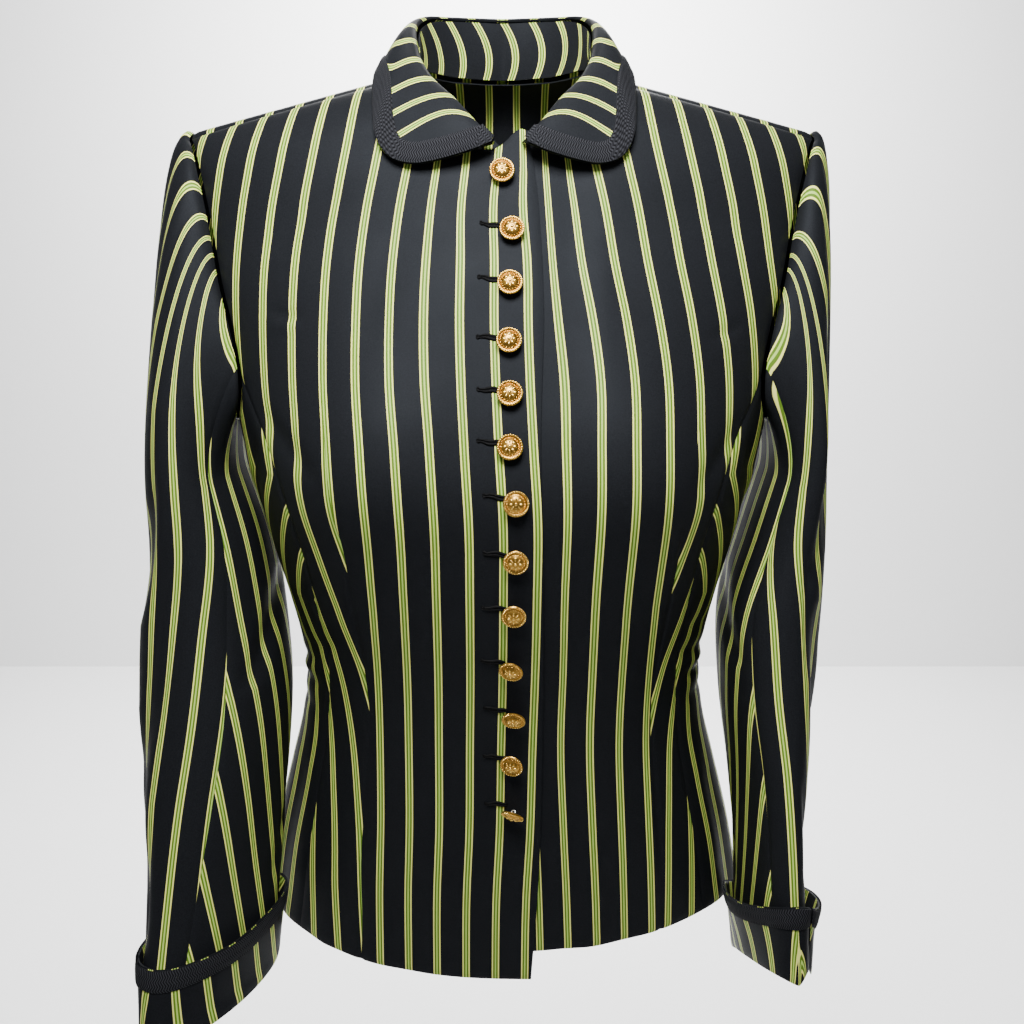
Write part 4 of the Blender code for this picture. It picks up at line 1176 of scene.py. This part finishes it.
@dataclass(frozen=True)
class Buttons:
    """The gilt buttons with a rope rim, a ring of beads and a rosette, each on its shank.

    Args: torso: what they are sewn to; radius, rim_height: the head's; shank_reach: how far its foot
    spreads; steps: radius and height of the head's rings from its back; rings: number, size, radius,
    height and twist of the beads round it.
    """

    torso: Torso
    radius: float = 7.6 * MM
    rim_height: float = 4.3 * MM
    shank_reach: float = 1.9 * MM
    head_corners: int = 56
    bead_corners: tuple[int, int] = (10, 6)
    back_radius: float = 6.4 * MM
    back_height: float = 3.1 * MM
    steps: tuple[tuple[float, float], ...] = (
        (7.35, 3.5),
        (7.6, 4.1),
        (7.2, 4.7),
        (6.3, 4.75),
        (5.7, 4.35),
        (5.1, 4.7),
        (4.5, 5.4),
        (3.3, 6.1),
        (1.8, 6.5),
        (0.6, 6.6),
    )
    rings: tuple[tuple[int, tuple[float, float, float], float, float, float], ...] = (
        (30, (0.95, 0.42, 0.5), 6.85, 4.75, 0.75),
        (20, (0.42, 0.42, 0.42), 5.15, 4.85, 0),
        (8, (1.35, 0.62, 0.5), 2.75, 6.1, 0),
        (1, (1.05, 1.05, 0.75), 0, 6.6, 0),
    )

    def seat(self, level: float, reach: float, droop: float, turn: float) -> Seat:
        """Args: a row of the table of buttons. Returns: where and how that button sits."""
        side = np.array([-1, 1, 1])

        def at(x: float, z: float) -> np.ndarray:
            return self.torso.skin(self.torso.turn_at(np.array(-x), z), z) * side

        tiny = 1 * MM
        x, z = reach * MM, level * MM
        across = at(x + tiny, z) - at(x - tiny, z)
        normal = unit(np.cross(across, at(x, z + tiny) - at(x, z - tiny)))
        lean = np.array([math.tan(math.radians(turn)), 0, -math.tan(math.radians(droop))])
        axis = unit(normal + lean)
        tilt = math.acos(min(1.0, float(axis @ normal)))
        rim = self.radius * math.sin(tilt) - self.rim_height * math.cos(tilt)
        lift = max(self.shank_reach * math.sin(tilt), rim) + SEAM_GAP
        return Seat(at(x, z) + normal * lift, axis)

    def head(self, look: Look) -> bpy.types.Object:
        """Args: look: its material. Returns: the round head, drawn up step by step from its back."""
        bpy.ops.mesh.primitive_circle_add(
            vertices=self.head_corners, radius=self.back_radius, fill_type="NGON", location=(
                0, 0, self.back_height
            )
        )
        head = bpy.context.object
        bpy.ops.object.mode_set(mode="EDIT")
        bpy.ops.mesh.select_all(action="SELECT")
        was, height = self.back_radius, self.back_height
        for radius, rise in self.steps:
            move = {"value": (0, 0, rise * MM - height)}
            bpy.ops.mesh.extrude_region_move(TRANSFORM_OT_translate=move)
            bpy.ops.transform.resize(value=(radius * MM / was, radius * MM / was, 1))
            was, height = radius * MM, rise * MM
        bpy.ops.mesh.select_all(action="SELECT")
        bpy.ops.mesh.normals_make_consistent(inside=False)
        bpy.ops.object.mode_set(mode="OBJECT")
        head.data.materials.append(look)
        return head

    def bead(self, size: Sequence[float], spot: Sequence[float], turn: float, look: Look) -> Any:
        """Args: size, spot, turn: the bead and its place; look: its material. Returns: the bead."""
        around, up = self.bead_corners
        bpy.ops.mesh.primitive_uv_sphere_add(segments=around, ring_count=up, radius=1, location=spot)
        bead = bpy.context.object
        bead.scale = tuple(length * MM for length in size)
        bead.rotation_euler = (0, 0, turn)
        bead.data.materials.append(look)
        return bead

    def model(self, gilt: Look, deep: Look, steel: Look) -> bpy.types.Mesh:
        """Args: gilt, deep, steel: raised work, ground and shank. Returns: one button's mesh."""
        parts = [self.head(deep)]
        for count, size, radius, height, twist in self.rings:
            for step in range(count):
                angle = 2 * math.pi * step / count
                spot = (radius * MM * math.cos(angle), radius * MM * math.sin(angle), height * MM)
                parts.append(self.bead(size, spot, angle + twist, gilt))
        bpy.ops.mesh.primitive_cylinder_add(
            vertices=20, radius=1.5 * MM, depth=1.4 * MM, location=(0, 0, 2.7 * MM)
        )
        parts.append(bpy.context.object)
        bpy.ops.mesh.primitive_torus_add(
            location=(0, 0, 1.45 * MM),
            rotation=(math.pi / 2, 0, 0),
            major_segments=24,
            minor_segments=10,
            major_radius=1.25 * MM,
            minor_radius=0.42 * MM,
        )
        parts.append(bpy.context.object)
        for part in parts[-2:]:
            part.data.materials.append(steel)
        bpy.ops.object.select_all(action="DESELECT")
        for part in parts:
            part.select_set(True)
        bpy.context.view_layer.objects.active = parts[0]
        bpy.ops.object.join()
        whole = bpy.context.object
        bpy.ops.object.transform_apply(location=True, rotation=True, scale=True)
        bpy.ops.object.shade_smooth_by_angle(angle=math.radians(40))
        mesh = whole.data
        bpy.data.objects.remove(whole)
        return mesh

    def build(self, gilt: Look, deep: Look, steel: Look) -> None:
        """Args: gilt, deep, steel: their materials."""
        mesh = self.model(gilt, deep, steel)
        for number, row in enumerate(BUTTONS.rows, start=1):
            seat = self.seat(*row)
            axis = Vector(seat.axis)
            side = axis.cross(Vector((0, 0, 1))).normalized()
            frame = Matrix((side, axis.cross(side), axis)).transposed().to_4x4()
            own = mesh.copy()
            own.transform(Matrix.Translation(Vector(seat.foot)) @ frame)
            piece = linked(f"button_{number:02d}_gilt", own)
            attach(piece, "root")
            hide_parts(f"button_{number:02d}")
        LOG.info("buttons: %d of %d faces", len(BUTTONS.rows), len(mesh.polygons))


@dataclass(frozen=True)
class Buttonholes:
    """The worked buttonholes: raised thread round a slit, with a knot at the end under the button.

    Args: torso: what they are worked in; length to slope: their size and place by the button; knot to
    slope_turns: how they thicken, wander and differ in slope; counts: points along and over each.
    """

    torso: Torso
    length: float = 15.5 * MM
    width: float = 3.7 * MM
    rise: float = 0.9 * MM
    above: float = 2.4 * MM
    reach: float = 4.0 * MM
    slope: float = 0.10
    sunk: float = 0.05 * MM
    knot: float = 0.55
    knot_place: float = 0.93
    knot_length: float = 0.05
    tail: float = 0.35
    waver: float = 0.35 * MM
    wavers: float = 9
    waver_phase: float = 7 * MM
    slope_spread: float = 0.06
    slope_turns: float = 23 * MM
    counts: tuple[int, int] = (26, 17)

    def grid(self, level: float, reach: float) -> np.ndarray:
        """Args: level, reach: the button's. Returns: the raised face over one buttonhole."""
        along = np.linspace(0, 1, self.counts[0])[None, :]
        over = np.linspace(-1, 1, self.counts[1])[:, None]
        knot = self.knot * np.exp(-(((along - self.knot_place) / self.knot_length) ** 2))
        body = (1 - self.tail) * np.sin(math.pi * np.clip(0.1 + along, 0, 1)) ** 0.8
        half = self.width / 2 * (self.tail + body + knot)
        lip = 0.25 + 0.75 * np.sin(math.pi * np.abs(over)) ** 0.8
        ends = np.clip(np.minimum(along, 1 - along) * 12, 0, 1)
        rise = self.rise * lip * ends * (np.abs(over) < 0.99) + self.sunk
        x = (-reach + self.reach + along * self.length) + 0 * over
        wave = self.waver * np.sin(along * self.wavers + level / self.waver_phase)
        slope = self.slope + self.slope_spread * math.sin(level / self.slope_turns)
        z = level + self.above + wave + along * self.length * slope + over * half
        turn = self.torso.turn_at(x, z)
        return (self.torso.skin(turn, z) + self.torso.normal(turn, z) * rise[..., None]) * Hand.RIGHT.side

    def build(self, thread: Look) -> bpy.types.Object:
        """Args: thread: its material. Returns: all the buttonholes as one piece."""
        verts: list[list[float]] = []
        faces: list[list[int]] = []
        for level, reach, _, _ in BUTTONS.rows[1:]:
            points = self.grid(level * MM, reach * MM)
            rows, columns = points.shape[:2]
            places = np.arange(rows * columns).reshape(rows, columns) + len(verts)
            quads = np.stack([places[:-1, :-1], places[1:, :-1], places[1:, 1:], places[:-1, 1:]], axis=-1)
            faces += quads.reshape(-1, 4).tolist()
            verts += points.reshape(-1, 3).tolist()
        mesh = bpy.data.meshes.new("buttonholes")
        mesh.from_pydata(verts, [], faces)
        mesh.shade_smooth()
        mesh.materials.append(thread)
        piece = linked("buttonholes", mesh)
        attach(piece, "root")
        LOG.info("buttonholes: %d", len(BUTTONS.rows) - 1)
        return piece


class Signal:
    """A shader socket with arithmetic on it."""

    def __init__(self, recipe: Recipe, socket: bpy.types.NodeSocket) -> None:
        """Args: recipe: the material being made; socket: an output of one of its nodes."""
        self.recipe = recipe
        self.socket = socket

    def math(self, operation: str, *others: Any) -> Signal:
        """Args: operation: a maths node's; others: its other inputs. Returns: the result."""
        inputs = dict(enumerate((self, *others)))
        made = self.recipe.node("ShaderNodeMath", {"operation": operation}, inputs)
        return Signal(self.recipe, made.outputs[0])

    def __add__(self, other: Any) -> Signal:
        return self.math("ADD", other)

    __radd__ = __add__

    def __mul__(self, other: Any) -> Signal:
        return self.math("MULTIPLY", other)

    __rmul__ = __mul__

    def __sub__(self, other: Any) -> Signal:
        return self.math("SUBTRACT", other)

    def __rsub__(self, other: Any) -> Signal:
        return self.math("MULTIPLY_ADD", -1.0, other)

    def zigzag(self) -> Signal:
        """Returns: how far it lies from the middle between whole numbers."""
        return (self.math("FRACT") - 0.5).math("ABSOLUTE")


class Recipe:
    """One material while it is being made."""

    def __init__(self, name: str) -> None:
        """Args: name: the material's."""
        self.material = bpy.data.materials.new(name)
        self.material.use_nodes = True
        self.tree = self.material.node_tree
        self.shader = self.tree.nodes["Principled BSDF"]

    def feed(self, node: bpy.types.Node, inputs: dict[Any, Any]) -> None:
        """Args: node: any node; inputs: value or signal of each named or numbered input."""
        for key, value in inputs.items():
            if isinstance(value, Signal):
                self.tree.links.new(value.socket, node.inputs[key])
            else:
                node.inputs[key].default_value = value

    def node(self, kind: str, settings: dict[str, Any], inputs: dict[Any, Any]) -> bpy.types.Node:
        """Args: kind, settings, inputs: the node. Returns: it, set and linked."""
        made = self.tree.nodes.new(kind)
        for name, value in settings.items():
            setattr(made, name, value)
        self.feed(made, inputs)
        return made

    def measure(self) -> tuple[Signal, Signal]:
        """Returns: the cloth's own measure across and along it, in stripe pitches."""
        place = self.node("ShaderNodeUVMap", {"uv_map": "cloth"}, {})
        parts = self.node("ShaderNodeSeparateXYZ", {}, {0: Signal(self, place.outputs[0])})
        return Signal(self, parts.outputs[0]), Signal(self, parts.outputs[1])

    def ramp(self, at: Signal, stops: Sequence[tuple[float, tuple[float, float, float]]]) -> Signal:
        """Args: at: 0 to 1; stops: places and colours. Returns: the colour."""
        node = self.node("ShaderNodeValToRGB", {}, {0: at})
        elements = node.color_ramp.elements
        while len(elements) < len(stops):
            elements.new(0.5)
        for element, (place, color) in zip(elements, stops):
            element.position = place
            element.color = (*color, 1.0)
        return Signal(self, node.outputs[0])

    def noise(self, scale: float, detail: float, vector: Signal | None = None) -> Signal:
        """Args: scale, detail: the noise; vector: its place. Returns: its value."""
        inputs: dict[Any, Any] = {"Scale": scale, "Detail": detail}
        if vector is None:
            place = self.node("ShaderNodeTexCoord", {}, {})
            vector = Signal(self, place.outputs["Object"])
        inputs["Vector"] = vector
        return Signal(self, self.node("ShaderNodeTexNoise", {}, inputs).outputs[0])

    def bump(self, height: Signal, distance: float, strength: float = 1.0) -> None:
        """Args: height, distance, strength: the relief on the material's surface."""
        node = self.node("ShaderNodeBump", {}, {"Height": height, "Distance": distance, "Strength": strength})
        self.feed(self.shader, {"Normal": Signal(self, node.outputs[0])})


@dataclass(frozen=True)
class StripedCloth:
    """Fine near-black cloth with narrow satin stripes.

    Args: ground to line: its colours; edges: half widths in millimetres of core, line, green and yellow;
    soft to plain_far: blur and the plain ground's places on the ramp, in centimetres but for plain_from in
    millimetres; fleck_scale to grain_pitch: the weave's unevenness and ribs; rough to weave: its gloss and
    relief.
    """

    ground: tuple[float, float, float] = (0.0120, 0.0130, 0.0152)
    fleck: float = 0.55
    core: tuple[float, float, float] = (0.44, 0.64, 0.13)
    green: tuple[float, float, float] = (0.10, 0.19, 0.018)
    yellow: tuple[float, float, float] = (0.86, 0.86, 0.22)
    line: tuple[float, float, float] = (0.03, 0.05, 0.01)
    edges: tuple[float, float, float, float] = (0.42, 0.62, 1.55, 2.40)
    soft: float = 0.012
    plain_from: float = 0.2
    ramp_end: float = 0.04
    plain_edge: float = 0.14
    plain_far: float = 0.52
    fleck_scale: float = 1300.0
    fleck_depth: float = 0.6
    cloud_scale: float = 38.0
    uneven: float = 0.12
    grain_pitch: float = 1.6
    rough: float = 0.50
    satin: float = 0.40
    tint: tuple[float, float, float] = (0.80, 0.88, 1.0)
    weave: float = 0.06 * MM

    def build(self) -> Look:
        """Returns: the material."""
        recipe = Recipe("striped_cloth")
        across, along = recipe.measure()
        pitch = STRIPE_PITCH / MM
        off = (across + 0.5).zigzag() * pitch
        a, b, c, d = (edge / 10 for edge in self.edges)
        soft = self.soft
        plain = off.math("GREATER_THAN", self.edges[3] + self.plain_from)
        flecks = plain * recipe.noise(self.fleck_scale, 2.0) * self.fleck_depth
        color = recipe.ramp(
            (off * 0.1).math("MINIMUM", d + self.ramp_end) + flecks,
            (
                (0, self.core),
                (a, self.core),
                (a + soft, self.line),
                (b - soft, self.line),
                (b, self.green),
                (c, self.green),
                (c + soft, self.yellow),
                (d, self.yellow),
                (d + soft, self.ground),
                (d + self.plain_edge, self.ground),
                (d + self.plain_far, tuple(part * self.fleck for part in self.ground)),
            ),
        )
        inside = off.math("LESS_THAN", self.edges[3])
        grain = ((across + along) * pitch * self.grain_pitch).zigzag()
        cloudy = recipe.noise(self.cloud_scale, 3.0)
        recipe.feed(
            recipe.shader,
            {
                "Base Color": color,
                "Roughness": inside * (self.satin - self.rough) + self.rough + (cloudy - 0.5) * self.uneven,
                "Specular IOR Level": 0.05,
                "Specular Tint": (*self.tint, 1.0),
            },
        )
        recipe.bump(grain * 0.6 + cloudy * 0.8, self.weave)
        return recipe.material


@dataclass(frozen=True)
class Herringbone:
    """Matt black braid woven in a herringbone, its rib tops painted lighter as a painted highlight. Args: its
    black and its painted highlight colour, chevron size and relief.
    """

    dark: tuple[float, float, float] = (0.0035, 0.0036, 0.0044)
    # the lighter colour of the rib tops, a painted highlight standing in for light on the ribs
    rib_highlight: tuple[float, float, float] = (0.030, 0.031, 0.036)
    chevron: float = 4.0
    ribs: float = 13.0
    relief: float = 0.22 * MM

    def build(self) -> Look:
        """Returns: the material."""
        recipe = Recipe("herringbone_braid")
        across, along = recipe.measure()
        rib = (across * self.ribs + (along * self.chevron).zigzag() * 2.0).zigzag() * 2.0
        recipe.feed(
            recipe.shader,
            {
                # painted highlight: the colour runs from the black in the grooves to the lighter painted
                # highlight on the rib tops
                "Base Color": recipe.ramp(rib, ((0.25, self.dark), (0.8, self.rib_highlight))),
                "Roughness": 0.8,
                "Specular IOR Level": 0.06,
            },
        )
        recipe.bump(rib, self.relief)
        return recipe.material


@dataclass(frozen=True)
class Metal:
    """A plain metal. Args: name, colour, roughness: its look; worn: how uneven its polish is."""

    name: str
    color: tuple[float, float, float]
    rough: float
    worn: float = 0.12

    def build(self) -> Look:
        """Returns: the material."""
        recipe = Recipe(self.name)
        polish = recipe.noise(900.0, 2.0)
        recipe.feed(
            recipe.shader,
            {
                "Base Color": (*self.color, 1.0),
                "Metallic": 1.0,
                "Roughness": (polish - 0.5) * self.worn + self.rough,
            },
        )
        return recipe.material


@dataclass(frozen=True)
class Plain:
    """A plain matt finish. Args: name, colour, roughness and shine."""

    name: str
    color: tuple[float, float, float]
    rough: float
    shine: float = 0.2

    def build(self) -> Look:
        """Returns: the material."""
        recipe = Recipe(self.name)
        recipe.feed(
            recipe.shader,
            {"Base Color": (*self.color, 1.0), "Roughness": self.rough, "Specular IOR Level": self.shine},
        )
        return recipe.material


@dataclass(frozen=True)
class Lamp:
    """A soft square lamp. Args: its name, place, target, size in metres and power in watts."""

    name: str
    place: tuple[float, float, float]
    target: tuple[float, float, float]
    size: float
    power: float


@dataclass(frozen=True)
class Studio:
    """The camera, the pale floor and wall, and the lamps. Args: their places, looks and strengths."""

    camera_place: tuple[float, float, float] = (0.0065, -0.692, -0.125)
    pitch: float = math.radians(77)
    lens: float = 35.156
    clip: float = 0.01
    floor_height: float = -1.80
    floor_size: float = 12
    wall_distance: float = 3.5
    wall_size: float = 14
    pale: tuple[float, float, float] = (0.93, 0.93, 0.93)
    world: tuple[float, float, float] = (0.93, 0.94, 0.96)
    world_power: float = 0.15
    lamps: tuple[Lamp, ...] = field(
        default=(
            Lamp("key", (-0.05, -0.48, 0.40), (0, 0, -0.08), 0.32, 16),
            Lamp("fill", (1.2, -1.2, 0.5), (0, 0, -0.25), 1.0, 1.8),
            Lamp("side", (-1.4, -0.7, 0.4), (0, 0, -0.25), 1.0, 1.8),
            Lamp("top", (0.0, 0.4, 1.0), (0, 0, -0.2), 0.5, 4),
            Lamp("backdrop", (0.0, 1.6, 1.8), (0, 3.5, 0.2), 1.4, 230),
            Lamp("floor_wash", (0.0, 2.3, 1.3), (0, 2.5, -1.8), 1.2, 150),
        )
    )

    def build(self) -> None:
        """Places the camera, floor, lamps and the pale surroundings."""
        scene = bpy.context.scene
        data = bpy.data.cameras.new("camera")
        data.lens = self.lens
        data.clip_start = self.clip
        camera = linked("camera", data)
        camera.location = self.camera_place
        camera.rotation_euler = (self.pitch, 0, 0)
        scene.camera = camera
        bpy.ops.mesh.primitive_plane_add(size=self.floor_size, location=(0, 0, self.floor_height))
        floor = bpy.context.object
        floor.name = "floor"
        pale = Plain("pale_floor", self.pale, 0.8).build()
        floor.data.materials.append(pale)
        bpy.ops.mesh.primitive_plane_add(
            size=self.wall_size, location=(0, self.wall_distance, 0), rotation=(math.pi / 2, 0, 0)
        )
        wall = bpy.context.object
        wall.name = "backdrop"
        wall.data.materials.append(pale)
        world = bpy.data.worlds.new("pale_room")
        world.use_nodes = True
        light = world.node_tree.nodes["Background"]
        light.inputs[0].default_value = (*self.world, 1.0)
        light.inputs[1].default_value = self.world_power
        scene.world = world
        for lamp in self.lamps:
            light_data = bpy.data.lights.new(lamp.name, "AREA")
            light_data.size = lamp.size
            light_data.energy = lamp.power
            holder = linked(lamp.name, light_data)
            holder.location = lamp.place
            aim = Vector(lamp.target) - Vector(lamp.place)
            holder.rotation_euler = aim.to_track_quat("-Z", "Y").to_euler()
            holder.visible_camera = False
        LOG.info("studio: %d lamps", len(self.lamps))


def main() -> None:
    """Builds the jacket and its studio."""
    logging.basicConfig(level=logging.INFO, format="%(message)s")
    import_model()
    cloth = StripedCloth().build()
    braid = Herringbone().build()
    gilt = Metal("gilt", (0.94, 0.61, 0.15), 0.23).build()
    deep = Metal("gilt_ground", (0.46, 0.25, 0.045), 0.33).build()
    steel = Metal("shank", (0.72, 0.72, 0.70), 0.28).build()
    thread = Plain("thread", (0.0012, 0.0012, 0.0015), 0.7, 0.12).build()
    tailor = Tailor()
    torso = Torso()
    holes = Buttonholes(torso).build(thread)
    panels: tuple[tuple[str, Callable[[Hand], ClothGrid], Cut], ...] = (
        ("front", torso.front, Cut(0.24, 0.60, 0.112, rests_on=("collar_stand_cloth",))),
        ("back", torso.back, Cut(0.22, 0.66, 0.110)),
        ("side", torso.flank, Cut(0.22, 0.41, 0.064)),
    )
    for hand in Hand:
        for name, draft, cut in panels:
            node = f"{name}_{hand.value}"
            piece = tailor.shell(node + "_cloth", draft(hand), cloth, CLOTH, hand.side)
            tailor.declare(piece, node)
        Sleeve(hand, torso).build(tailor, cloth, braid)
    Collar(torso).build(tailor, cloth, braid)
    Buttons(torso).build(gilt, deep, steel)
    Studio().build()


if __name__ == "__main__":
    main()
